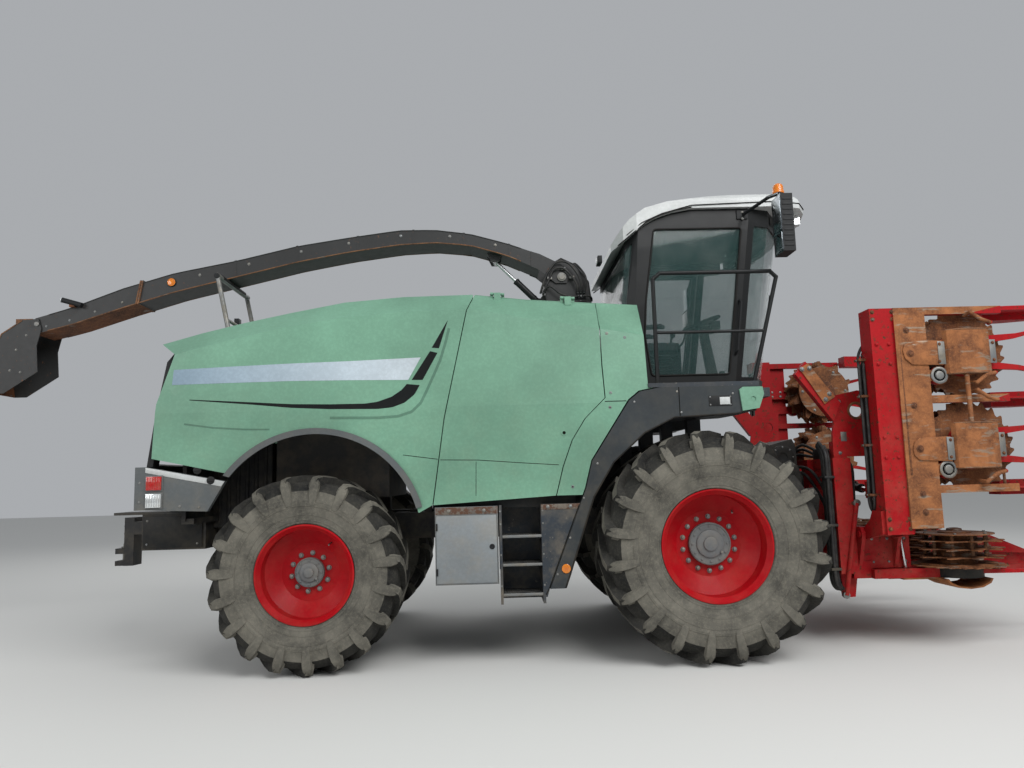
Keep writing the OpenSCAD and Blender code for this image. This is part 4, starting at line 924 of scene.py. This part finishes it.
# side boxes, steps, fenders and rear end: y of their outer faces, x of the cooler and of the tow pin
BUMPER_Y, BOX_Y, FENDER_Y, BALLAST_Y = 1390, 1395, 1400, 806
COOLER_X, TOW_PIN_X = -4225, -5270
KNOB = [(15, -1), (15, 2), (10, 6), (4, 7), (3, 4), (TIP, 4)]


def rear_end(side):
    r = Piece("bumper_trim", side)
    band = [(-4478, 1622), (-4478, 1580), (-3880, 1458), (-3852, 1497)]
    r.plate(band, BUMPER_Y, BUMPER_Y + 3, "roof_white")
    # tail lamps: backing, lens and its ribs
    for z, mat in ((1432, "lamp_red"), (1296, "lens")):
        r.plate(rect(-4474, z, -4336, z + 126), BUMPER_Y, BUMPER_Y + 6, "hub_grey")
        r.plate(rect(-4464, z + 10, -4346, z + 116), BUMPER_Y + 6, BUMPER_Y + 18, mat)
        for k in range(6):
            x = -4458 + k * 19
            r.plate(rect(x, z + 16, x + 10, z + 110), BUMPER_Y + 18, BUMPER_Y + 20, mat)
    # turn latches
    for x, y, z in ((-3962, 1390, 1508), (-4070, 1389, 1590)):
        r.lathe((x, y, z), [(32, -2), (32, 5), (27, 9), (18, 10), (TIP, 10)], BLACK, 28)
        r.box(x - 26, x + 26, y + 9, y + 19, z - 6, z + 6)
    r.bolts(((-4520, 1350), (-4520, 1500), (-4200, 1310), (-4050, 1300)), BUMPER_Y, 8)
    r.done("chassis", True)
    b = Piece("ballast_trim", side)
    y = BALLAST_Y
    b.box(-4745, -4240, y - 6, y, 948, 1216)
    b.lathe((-4300, y, 1160), [(30, -2), (30, 5), (25, 9), (TIP, 9)], BLACK, 28)
    b.box(-4326, -4274, y + 8, y + 18, 1154, 1166)
    b.bolts([(x, z) for z in (980, 1180) for x in (-4710, -4280)], y, 7)
    b.done("chassis", True)


def cooler_side(side):
    """Ribbed side sheet of the cooler housing, seen through the gap over the bumper."""
    c = Piece("cooler_side", side)
    c.grid([[(-4335 + i * 10, 606 if i % 8 < 3 else 596, z) for z in (1122, 1400, 1700, 1900)]
            for i in range(64)], "frame_steel")
    c.box(-4345, -3695, 560, 600, 1100, 1130, "frame_steel")
    c.done("chassis", False, 20)


def cooler_core():
    """Finned core across the engine bay, behind the rear grille and inside the hood's skin."""
    c = Piece("cooler_core")
    x = COOLER_X

    def roof(y):
        return TREES["hood"].ray_cast(P(x, y, 1900), Vector(UP))[0].z * 1000

    hits = [TREES["hood"].ray_cast(P(x, 0, z), Vector(OUT))[0] for z in (1650, 1900, 2100)]
    half = min([1180] + [h.y * 1000 - 45 for h in hits if h])
    ys = [-half + i * half / 20 for i in range(41)]
    tops = [min(roof(y), roof(0)) - 70 for y in ys]
    c.grid([[(x, y, 1200), (x, y, 1500), (x, y, 1800), (x, y, t)] for y, t in zip(ys, tops)], "cooler_core")
    c.grid([[(x - 30, y, t + 14), (x + 40, y, t + 14)] for y, t in zip(ys, tops)], "frame_steel")
    c.grid([[(x - 30, y, t + 14), (x - 30, y, t - 30)] for y, t in zip(ys, tops)], "frame_steel")
    for y in (-half, -half / 3, half / 3, half):
        c.box(x - 34, x - 2, y - 24, y + 24, 1185, min(roof(y), roof(0)) - 70, "frame_steel")
    c.box(x - 40, x + 60, -half - 10, half + 10, 1160, 1205, "frame_steel")
    c.done("chassis", False, 30)


def side_box_door(side):
    d = Piece("side_box_door", side)
    d.plate(rect(-2180, 652, -1702, 1178), BOX_Y, BOX_Y + 7, "box_grey")
    d.plate(rect(-2190, 1186, -1690, 1243), BOX_Y, BOX_Y + 5, "worn_strip")
    for x in (-2080, -1800):
        d.lathe((x, BOX_Y + 5, 1214), KNOB, ZINC, 20)
    # folded edges, latch, hinges
    for x0, z0, x1, z1 in ((-2188, 646, -1692, 646), (-1696, 646, -1696, 1240), (-2186, 646, -2186, 1240),
                           (-2188, 1182, -1692, 1182)):
        d.tube([(x0, BOX_Y + 2, z0), (x1, BOX_Y + 2, z1)], 4, "hub_grey", 8)
    d.lathe((-1740, BOX_Y + 7, 930), [(22, -1), (21, 4), (12, 6), (11, 2), (TIP, 2)], BLACK, 24)
    for z in (740, 1090):
        d.tube([(-2176, BOX_Y + 9, z - 28), (-2176, BOX_Y + 9, z + 28)], 7, BLACK, 12)
    d.done("chassis", True)


def step_trim(side):
    t = Piece("step_trim", side)
    t.box(-2185, -1050, 1290, 1300, 1228, 1345)
    for z in (560, 790, 1010):
        t.box(-1657, -1348, BOX_Y - 2, BOX_Y + 3, z - 17, z + 3, ZINC)
        for k in range(15):
            t.box(-1650 + k * 20, -1640 + k * 20, 1110, 1380, z, z + 3, "tread_plate")
    if side == "right":
        t.plate([(-1345, 1206), (-1050, 1206), (-1034, 1248), (-1345, 1248)], BOX_Y, BOX_Y + 3, "worn_strip")
        for x in (-1290, -1110):
            t.lathe((x, BOX_Y + 3, 1228), [(15, -1), (15, 2), (10, 6), (TIP, 7)], ZINC, 20)
        t.tube([(-1326, 1396, 545), (-1300, 1396, 590), (-1040, 1396, 1240)], 4, "seam_dark", 6)
    t.bolts([(x, z) for x in (-1672, -1334) for z in (620, 860, 1100, 1200)], BOX_Y, 6)
    t.done("chassis", True)


FENDER_SCREWS = ((-208, 2126), (-180, 1955), (330, 2010), (248, 2100), (-560, 2050), (-880, 1560),
                 (-1000, 1290), (-1120, 980), (-1230, 700))
FENDER_LIP = ((432, 1962), (272, 1937), (-238, 1917), (-488, 1797), (-748, 1567), (-918, 1297),
              (-1128, 702), (-1168, 594))


def fender_trim(side):
    f = Piece("fender_trim", side)
    for x, z in FENDER_SCREWS:
        y = on_side(f, "fender", x, z)
        if y:
            f.lathe((x, y, z), [(9, -1), (9, 3), (6, 4), (TIP, 4)], ZINC, 16)
    # socket plate with its bright lid, joint of the fender's plates
    f.plate(rect(48, 2085, 238, 2000), FENDER_Y, FENDER_Y + 3, BLACK)
    f.plate(rect(138, 2072, 222, 2012), FENDER_Y + 3, FENDER_Y + 5, "roof_white")
    f.plate(rect(-196, 1925, -188, 2162), FENDER_Y, FENDER_Y + 1, "seam_dark")
    f.bolts(((60, 2074), (60, 2011), (226, 2074), (226, 2011)), FENDER_Y + 3, 5)
    # rubber lip along the arch edge
    f.tube([(x, FENDER_Y + 1, z) for x, z in FENDER_LIP], 7, PAD, 8)
    f.done("chassis", True)


def tow_pin():
    hitch = Piece("tow_pin")
    pin = [(19, -140), (19, 0), (34, 2), (34, 12), (17, 15), (16, 40)]
    hitch.lathe((TOW_PIN_X, 0, 902), pin, ZINC, 28, axis=UP)
    grip = [(TOW_PIN_X, y, z) for y, z in ((0, 940), (34, 968), (60, 945), (62, 912))]
    hitch.tube(smooth_line(grip, 5), 5, ZINC, 8)
    for z in (1040, 1110):
        for y in (-60, 60):
            hitch.bolt((-5241, y, z), 13, axis=BACK)
    hitch.done("chassis", True)


for side in SIDES:
    rear_end(side)
    cooler_side(side)
    side_box_door(side)
    step_trim(side)
    fender_trim(side)
cooler_core()
tow_pin()


# spout and turret; the chute's line is x, top and bottom
CHUTE = [(-1220, 3672, 3515), (-1550, 3790, 3665), (-1900, 3890, 3770), (-2250, 3938, 3805),
         (-2600, 3940, 3790), (-3100, 3875, 3725), (-3600, 3800, 3636), (-4200, 3662, 3497),
         (-4800, 3550, 3358), (-5300, 3405, 3210), (-5800, 3220, 3050), (-6130, 3128, 2972)]
CHUTE_Y = 173
CRADLE_X = -4290


def chute_at(x, share=1.0):
    """A height of the chute at x: its top, its bottom or between."""
    for a, b in zip(CHUTE, CHUTE[1:]):
        if b[0] <= x <= a[0]:
            t = (x - a[0]) / (b[0] - a[0])
            top, low = a[1] + t * (b[1] - a[1]), a[2] + t * (b[2] - a[2])
            return top * share + low * (1 - share)


def spout_trim():
    c = Piece("spout_trim")
    xs = range(-1400, -1400 - 40 * 118, -118)
    marker = (-4827, CHUTE_Y, 3457)
    lamp = (-5862, -206, 3297)
    for _ in c.sides():
        # rolled edge and weld, bolts, side marker, bolts of the end flange
        c.tube([(x, CHUTE_Y + 1, chute_at(x) - 3) for x in xs], 5, "spout_charcoal", 8)
        c.tube([(x, CHUTE_Y + 1, chute_at(x, 0) + 3) for x in xs], 6, WELD, 8)
        bolts_x = (-4556, -4079, -3569, -3101, -2586, -2100, -1650)
        c.bolts([(x, chute_at(x, 0.62)) for x in bolts_x], CHUTE_Y, 11)
        c.bolts([(x, chute_at(x, 0.3)) for x in (-5300, -5560, -5800, -6020)], CHUTE_Y, 9)
        c.lathe(marker, [(43, -1), (43, 8), (39, 12), (37, 12)], BLACK, 36, False)
        c.lathe(marker, [(40, 6), (38, 15), (20, 20), (TIP, 21)], "lamp_amber", 36)
        for z in (3300, 3360, 3420):
            c.bolt((-5121 - (3478 - z) * 0.17 + 14, 183, z), 7, axis=FORWARD)
    # small lamp tube on its bracket
    c.box(-5790, -5740, -215, -172, 3226, 3262, RUST)
    c.rod(lamp, (-5672, -206, 3240), 25, BLACK, 24)
    c.lathe(lamp, [(27, -3), (27, 6), (21, 8), (TIP, 7)], "lens", 24, axis=(-0.957, 0, 0.288))
    # ribs over the chute's back
    for x in (-1500, -1950, -2450, -3000, -3600, -4200):
        low = chute_at(x, 0) + 8
        rows = []
        for q in (x, x - 22):
            top = chute_at(q) + 6
            rows.append([(q, -176, low), (q, -176, top), (q, 176, top), (q, 176, low)])
        c.grid(rows, "spout_charcoal")
    c.done("spout")


def flap_trim():
    f = Piece("flap_trim")
    for _ in f.sides():
        f.lathe((-6105, 190, 3068), [(24, -2), (24, 5), (17, 8), (TIP, 8)], ZINC, 24)
        f.tube([(-6246, 188, 3106), (-6436, 188, 2978), (-6550, 188, 2720), (-6506, 188, 2405)], 6, WELD, 8)
        f.bolts(((-6200, 2960), (-6290, 2820), (-6340, 2620), (-6240, 2600)), 187, 9)
        f.box(-6330, -6170, 120, 150, 3085, 3130, WELD)
    f.done("flap", True)


# hoses on the elbow's right side, which start at the turret's couplings
COUPLING_XS, COUPLING_ZS = (-848, -816, -784), (3232, 3268)
ELBOW_HOSES = (
    [(-848, -196, 3268), (-852, -214, 3330), (-900, -216, 3420), (-985, -214, 3510), (-1075, -206, 3500),
     (-1120, -196, 3420), (-1160, -190, 3330), (-1190, -150, 3255)],
    [(-816, -196, 3268), (-812, -218, 3340), (-850, -224, 3450), (-940, -224, 3560), (-1050, -214, 3570),
     (-1140, -200, 3470), (-1190, -192, 3350), (-1215, -160, 3270)],
    [(-784, -196, 3268), (-770, -216, 3330), (-765, -214, 3400), (-790, -200, 3470), (-850, -120, 3575),
     (-880, -40, 3590)],
    [(-848, -196, 3232), (-900, -216, 3215), (-1020, -222, 3250), (-1120, -210, 3330), (-1185, -160, 3290)],
    [(-784, -196, 3232), (-740, -214, 3225), (-715, -180, 3210), (-700, -90, 3205)])
ELBOW_WELD = ((-1150, 3182), (-1178, 3400), (-1118, 3557), (-1000, 3626), (-862, 3557), (-733, 3378),
              (-713, 3182))


def turret_trim():
    t = Piece("turret_trim")
    for x, y in ring(-930, 0, 214, 18):
        t.bolt((x, y, 3180), 9, axis=UP)
    for _ in t.sides():
        t.lathe((-1000, 186, 3430), [(44, -2), (44, 4), (30, 8), (28, 14), (TIP, 14)], ZINC)
        t.tube([(x, 159, z) for x, z in ELBOW_WELD], 6, "spout_charcoal", 8)
        t.box(-860, -770, 158, 176, 3210, 3290)
        for x in COUPLING_XS:
            for z in COUPLING_ZS:
                t.rod((x, 172, z), (x, 198, z), 9, ZINC, 6)
    for line in ELBOW_HOSES:
        t.hose(line, 11)
    for x, y, z in (ELBOW_HOSES[0][3], ELBOW_HOSES[0][5], ELBOW_HOSES[0][2]):
        t.box(x - 22, x + 22, y + 6, -158, z - 12, z + 12, ZINC)
    t.done("turret")


# pins of the cylinder that lifts the spout
LIFT_LOW, LIFT_TOP = Vector((-1225, 0, 3215)), Vector((-1650, 0, 3650))


def lift_cylinder_gland():
    b = Piece("lift_cylinder_gland")
    u = (LIFT_TOP - LIFT_LOW).normalized()
    for d, shape in ((300, [(35, 0), (35, 22), (22, 26), (17.6, 27)]), (60, [(35, 0), (35, 14)])):
        b.lathe(LIFT_LOW + u * d, shape, BLACK, 28, False, u)
    for d in (80, 280):
        port = LIFT_LOW + u * d
        b.rod(port + Vector((0, 30, 0)), port + Vector((0, 52, 0)), 9, ZINC, 6)
    b.done("spout_barrel")


def cradle_trim():
    c = Piece("cradle_trim")
    c.tube([(CRADLE_X, -330, 3448), (CRADLE_X, 330, 3448)], 27.5, PAD, 20)
    for _ in c.sides():
        c.bolts(((-4190, 2760), (-4085, 2760)), 480, 10)
        c.lathe((CRADLE_X, 450, 3440), [(27, -2), (27, 4), (20, 7), (TIP, 7)], BLACK, 20)
    # small lamp on the brace
    c.box(-4232, -4188, -120, -40, 3036, 3096)
    c.lathe((-4232, -80, 3066), [(26, -2), (26, 8), (20, 11), (TIP, 10)], "lens", 24, axis=BACK)
    c.done("chassis", True)


spout_trim()
flap_trim()
turret_trim()
lift_cylinder_gland()
cradle_trim()


# header, drawn in the header's place; the wings are drawn unfolded where fold_point is used
HINGE_Y, HINGE_Z = 1175, 925
HEADER_HOSES = (
    [(1110, 330, 1640), (1180, 420, 1700), (1235, 600, 1640), (1240, 850, 1620), (1245, 985, 1600),
     (1330, 1050, 1500), (1345, 1035, 1300), (1340, 1020, 1010)],
    [(1110, 280, 1600), (1190, 380, 1660), (1262, 600, 1585), (1265, 860, 1580), (1270, 975, 1570),
     (1335, 1010, 1440), (1338, 985, 1250), (1345, 960, 1000)],
    [(1110, 230, 1560), (1180, 300, 1610), (1288, 500, 1578), (1290, 700, 1576), (1310, 900, 1560),
     (1325, 940, 1400), (1340, 930, 1200), (1360, 920, 990)],
    [(1060, 440, 1500), (1120, 640, 1480), (1140, 820, 1380), (1138, 1000, 1200), (1140, 1068, 1000),
     (1138, 1075, 760), (1150, 1060, 660)],
    [(1040, 440, 1460), (1110, 600, 1430), (1138, 760, 1300), (1136, 960, 1120), (1138, 1040, 900),
     (1138, 1045, 700), (1150, 1030, 640)])
POST_X = 1146
POST_HOSES = ((-16, 1046), (-16, 1082), (-50, 1040), (-52, 1076), (-46, 1108))


def fold_point(x, y, z):
    """A point of the wing as drawn unfolded, in its place with the wing folded up."""
    return (x, HINGE_Y - (z - HINGE_Z), HINGE_Z + (y - HINGE_Y))


def header_plates(h):
    """Wear plate's bolts on the leaning arm, rivets and hole on the side plate, which is at 1085."""
    h.bolts(((945, 2322), (1010, 2330), (1165, 2105), (1130, 2058)), 1122, 15)
    h.lathe((1400, 1085, 1960), [(76, -1), (76, 5), (58, 6), (56, 0)], RUST, 36, False)
    h.plate(rect(1250, 1700, 1300, 1780), 1084, 1088, ZINC)
    h.bolts(((1235, 1530), (1235, 1600), (1480, 1600), (1480, 1700), (1440, 2080), (1260, 2040)), 1085, 11)


def header_hoses(h):
    """Hoses from the drive block over the top beam and down the post, and a bundle behind the post."""
    for line in HEADER_HOSES:
        h.hose(line, 14)
    for x, y, z in (HEADER_HOSES[0][4], HEADER_HOSES[0][3]):
        h.box(x - 34, x + 40, y - 10, y + 10, 1556, z + 20, ZINC)
    h.box(1130, 1152, 1020, 1095, 990, 1010, ZINC)
    # valve body with its couplings
    h.box(1215, 1285, 560, 760, 1560, 1650)
    for y in range(590, 590 + 4 * 46, 46):
        h.rod((1250, y, 1648), (1250, y, 1684), 15, ZINC, 6)
    for k, (dx, y) in enumerate(POST_HOSES):
        x = POST_X + dx
        h.hose([(x + 4, y - 60 - k * 20, 1640 + k * 14), (x, y - 14, 1570 + k * 8), (x, y, 1450),
                (x, y, 1000), (x, y, 640), (x + 14, y - 6, 520), (x + 50, y - 20, 470)], 17)
    for z in (640, 1000, 1400):
        h.box(1068, 1154, 1018, 1128, z - 10, z + 10, "frame_steel")


def header_rods(h):
    """Parking strut with its foot, pinned to the post, and the stay rod between fold hinge and deck."""
    h.rod((1320, 1128, 1180), (1172, 1132, 430), 20, "header_red")
    h.rod((1320, 1118, 1180), (1320, 1142, 1180), 30, ZINC, 20)
    h.rod((1172, 1112, 430), (1172, 1142, 430), 28, ZINC, 20)
    ends = ((1652, 985), (1688, 610))
    h.rod(*((x, 1132, z) for x, z in ends), 12, "rod_chrome")
    for x, z in ends:
        h.rod((x, 1104, z), (x, 1150, z), 24, ZINC, 20)
    h.box(1622, 1672, 1104, 1120, 930, 1000, "header_red")


def header_drive(h):
    """Joint of the inner drive: boots, clamps and the angle gears' bolts, ribs and oil plug; drive block."""
    for x in (1330, 1420):
        h.rod((x, 975, 835), (x - 14, 975, 835), 96, RUST, 36)
    for y, z in ring(975, 835, 76, 8):
        h.bolt((1316, y, z), 9, axis=BACK)
    for y, z in ring(1005, 770, 78, 8):
        h.bolt((1745, y, z), 9, axis=FORWARD)
    h.bolts([(x, z) for x in (1430, 1560, 1700) for z in (690, 880)], 1110, 10)
    for x in range(1420, 1420 + 4 * 80, 80):
        h.box(x, x + 14, 920, 1090, 929, 946, "header_red")
    h.lathe((1700, 1000, 930), [(20, -1), (20, 10), (13, 13), (13, 20), (TIP, 20)], ZINC, 6, axis=UP)
    cap = [(108, -1), (108, 4), (84, 8), (40, 9), (38, 3), (TIP, 3)]
    h.lathe((960, 500, 1590), cap, BLACK, 40)
    h.bolts(ring(960, 1590, 92, 8), 504, 8)


def header_trim():
    h = Piece("header_trim")
    for _ in h.sides():
        header_plates(h)
        header_hoses(h)
        header_rods(h)
        header_drive(h)
    h.done("header", True)


# rotors: x of their axes, height of their tops, and y of each rotor's axis with the wings unfolded
ROTOR_X, ROTOR_TOP = 2125, 914
ROTOR_YS = {"rotor_1": 375, "rotor_2": 1125, "wing_rotor_1": 1875, "wing_rotor_2": 2625}


def rotor_trim(name, side):
    """Bolts, hub and bosses of a rotor; it rides on its rotor."""
    r = Piece(name + "_trim", side)
    row = ROTOR_YS[name]
    place, axis = (fold_point, (0, -1, 0)) if name.startswith("wing") else (lambda *p: p, UP)
    for circle, size in ((250, 12), (86, 14)):
        for x, y in ring(ROTOR_X, row, circle, 6):
            r.bolt(place(x, y, ROTOR_TOP), size, axis=axis)
    hub = [(125, -1), (125, 8), (112, 14), (60, 18), (56, 34), (30, 40), (TIP, 40)]
    r.lathe(place(ROTOR_X, row, ROTOR_TOP), hub, RUST, 40, axis=axis)
    # carrier bosses between the toothed discs
    for x, y in ring(ROTOR_X, row, 232, 10, math.pi / 10):
        r.rod(place(x, y, 740), place(x, y, 900), 13, WELD, 10)
    r.done("%s_%s" % (name, side))


# the folded wing: its outer face, the heights of its rotor rows and of its row arms' nuts
WING_Y, ROWS = 1552, (1625, 2375)
ARM_Y = HINGE_Y + HINGE_Z - 635
TABS = (([(1592, 2400), (1612, 2445), (1680, 2475), (1915, 2470), (1938, 2392), (1915, 2270), (1662, 2280),
          (1606, 2330)], (1650, 2369), (1891, 2440), (1880, 2300)),
        ([(1606, 1598), (1622, 1660), (1668, 1695), (1910, 1699), (1939, 1589), (1910, 1501), (1652, 1518),
          (1614, 1555)], (1660, 1606), (1906, 1670), (1900, 1535)))


def skid_cups(w):
    """Tabs that hold the skid cups, the cups' end plates and bright brackets, rings of the gear covers."""
    for outline, (bx, bz), top, low in TABS:
        w.plate(outline, WING_Y - 3, WING_Y + 12, "rust_plate")
        w.plate([(1876, top[1] + 24), (1932, top[1] + 20), (1932, low[1] - 24), (1876, low[1] - 22)],
                WING_Y + 10, WING_Y + 17, ZINC)
        w.lathe((bx, WING_Y + 12, bz), [(30, -1), (30, 3), (21, 5)], RUST, 28, False)
        w.bolt((bx, WING_Y + 12, bz), 17, RUST, 12)
        w.bolts((top, low), WING_Y + 16, 10, RUST)
    for row in ROWS:
        w.box(2296, 2356, WING_Y - 12, WING_Y + 2, row - 96, row + 96, ZINC)
        w.bolts(((2334, row - 70), (2334, row + 70)), WING_Y + 2, 10, RUST)
        for z in (row - 176, row + 176):
            w.plate(rect(1960, z - 6, 2290, z + 6), WING_Y - 6, WING_Y + 26, WELD)
            bow = ((1948, 10), (2020, 58), (2120, 69), (2220, 58), (2292, 10))
            w.tube([(x, WING_Y + y, z) for x, y in bow], 8, WELD, 8)
        cover = [(70, -2), (70, 4), (62, 9), (50, 9), (48, 2), (34, 2), (33, 12), (16, 14), (TIP, 14)]
        w.lathe((1880, WING_Y - 6, row - 185), cover, ZINC, 36)


def wing_hoses(w):
    """Pipe in the corner between strip and boom, hoses up the boom's back with their clamps."""
    w.tube([(1578, 1540, 2540), (1580, 1542, 2000), (1581, 1544, 1400)], 12, RUST, 12)
    for k, (x, y) in enumerate(((1345, 1342), (1345, 1394), (1318, 1368))):
        w.hose([(1430 + k * 34, 1314, 1000), (1380, 1312, 1060 + k * 20), (x, y - 8, 1190), (x, y, 1400),
                (x, y, 1900), (x, y, 2150 + k * 60), (x + 8, y - 14, 2260 + k * 60),
                (1384, 1312, 2350 + k * 60), (1440, 1314, 2400 + k * 50)], 12)
    for z in (1250, 1650, 2050, 2350):
        w.box(1302, 1364, 1326, 1410, z - 10, z + 10, RUST)
        w.bolt((1303, 1368, z), 8, axis=BACK)


def wing_trim(side):
    w = Piece("wing_trim", side)
    # bolts of the wear strip
    for x, z in ((1657, 1250), (1665, 1108), (1648, 1950), (1640, 2560)):
        w.lathe((x, WING_Y, z), [(27, -1), (27, 1), (20, 2)], RUST, 24, False)
        w.bolt((x, WING_Y, z), 15, RUST, 10)
    skid_cups(w)
    # clips that hold the lowest guard bar to its divider
    for x, y, z in ((2140, 1600, 582), (2345, 1668, 590)):
        w.tube([fold_point(x, 1550, z), fold_point(x, y, z)], 11, WELD, 12)
    wing_hoses(w)
    # bolted flanges of the boom and nuts of its row arms
    w.bolts([(x, z) for x in (1385, 1545) for z in (985, 1060, 2720, 2660)], 1530, 13, RUST)
    for row in ROWS:
        w.bolts([(x, row + g) for x in (1400, 1500) for g in (-80, 80)], 1530, 13, "header_red")
        for x in (1620, 1720, 1820):
            for z in (row + 26, row - 26):
                w.bolt((x, ARM_Y, z), 11, axis=(0, -1, 0))
    w.done("wing_" + side, True)


# pins of the cylinder that folds a wing, and its barrel's radius
FOLD_IN, FOLD_OUT = Vector((1480, 350, 1350)), Vector((1480, 1115, 1275))
FOLD_R = 36


def fold_gland(side):
    """Gland, ports, hose and bands of the cylinder that folds a wing."""
    b = Piece("fold_gland", side)
    r = FOLD_R
    u = (FOLD_OUT - FOLD_IN).normalized()

    def on_barrel(along, height=0):
        return FOLD_IN + u * along + Vector(UP) * height

    b.lathe(on_barrel(548), [(r + 3, 0), (r + 3, 14), (r, 18)], BLACK, 28, False, u)
    for along, top in ((96, 14), (470, 16)):
        b.rod(on_barrel(along, r - 6), on_barrel(along, r + top), 11, ZINC, 6)
    line = ((96, 12), (104, 30), (150, 36), (300, 20), (430, 8), (470, 8))
    b.hose([on_barrel(along, r + h) for along, h in line], 8, 6, 10)
    for along in (210, 380):
        b.lathe(on_barrel(along), [(r + 1, 0), (r + 2, 3), (r + 2, 21), (r + 1, 24)], RUST, 28, False, u)
    b.done("fold_barrel_" + side)


header_trim()
for side in SIDES:
    for rotor in ROTOR_YS:
        rotor_trim(rotor, side)
for side in SIDES:
    wing_trim(side)
    fold_gland(side)


# ground and light
def add_floor(reach=40.0):
    bm = bmesh.new()
    corners = ((-1, -1), (1, -1), (1, 1), (-1, 1))
    bm.faces.new([bm.verts.new((x * reach, y * reach, 0)) for x, y in corners])
    o = add_mesh("floor", bm)
    m = bpy.data.materials.new("floor")
    m.use_nodes = True
    b = m.node_tree.nodes["Principled BSDF"]
    b.inputs["Base Color"].default_value = (0.62, 0.62, 0.60, 1)
    b.inputs["Roughness"].default_value = 0.9
    o.data.materials.append(m)


def add_world():
    w = bpy.data.worlds.new("world")
    bpy.context.scene.world = w
    w.use_nodes = True
    bg = w.node_tree.nodes["Background"]
    bg.inputs["Color"].default_value = (0.86, 0.89, 0.93, 1)
    bg.inputs["Strength"].default_value = 0.46


def add_light(name, place, size, power, target=(0, 0, 1.6)):
    d = bpy.data.lights.new(name, "AREA")
    d.shape = "RECTANGLE"
    d.size, d.size_y = size
    d.energy = power
    o = add(name, d)
    o.location = place
    o.rotation_euler = (Vector(target) - Vector(place)).to_track_quat("-Z", "Y").to_euler()


add_camera()
add_floor()
add_world()
add_light("key", (5.0, -9.0, 9.5), (9, 6.5), 1400)
add_light("fill", (-9.0, -8.0, 5.0), (6, 5), 380)
add_light("back", (0.0, 10.0, 8.0), (16, 9), 420)

bpy.context.scene.view_settings.view_transform = "Standard"
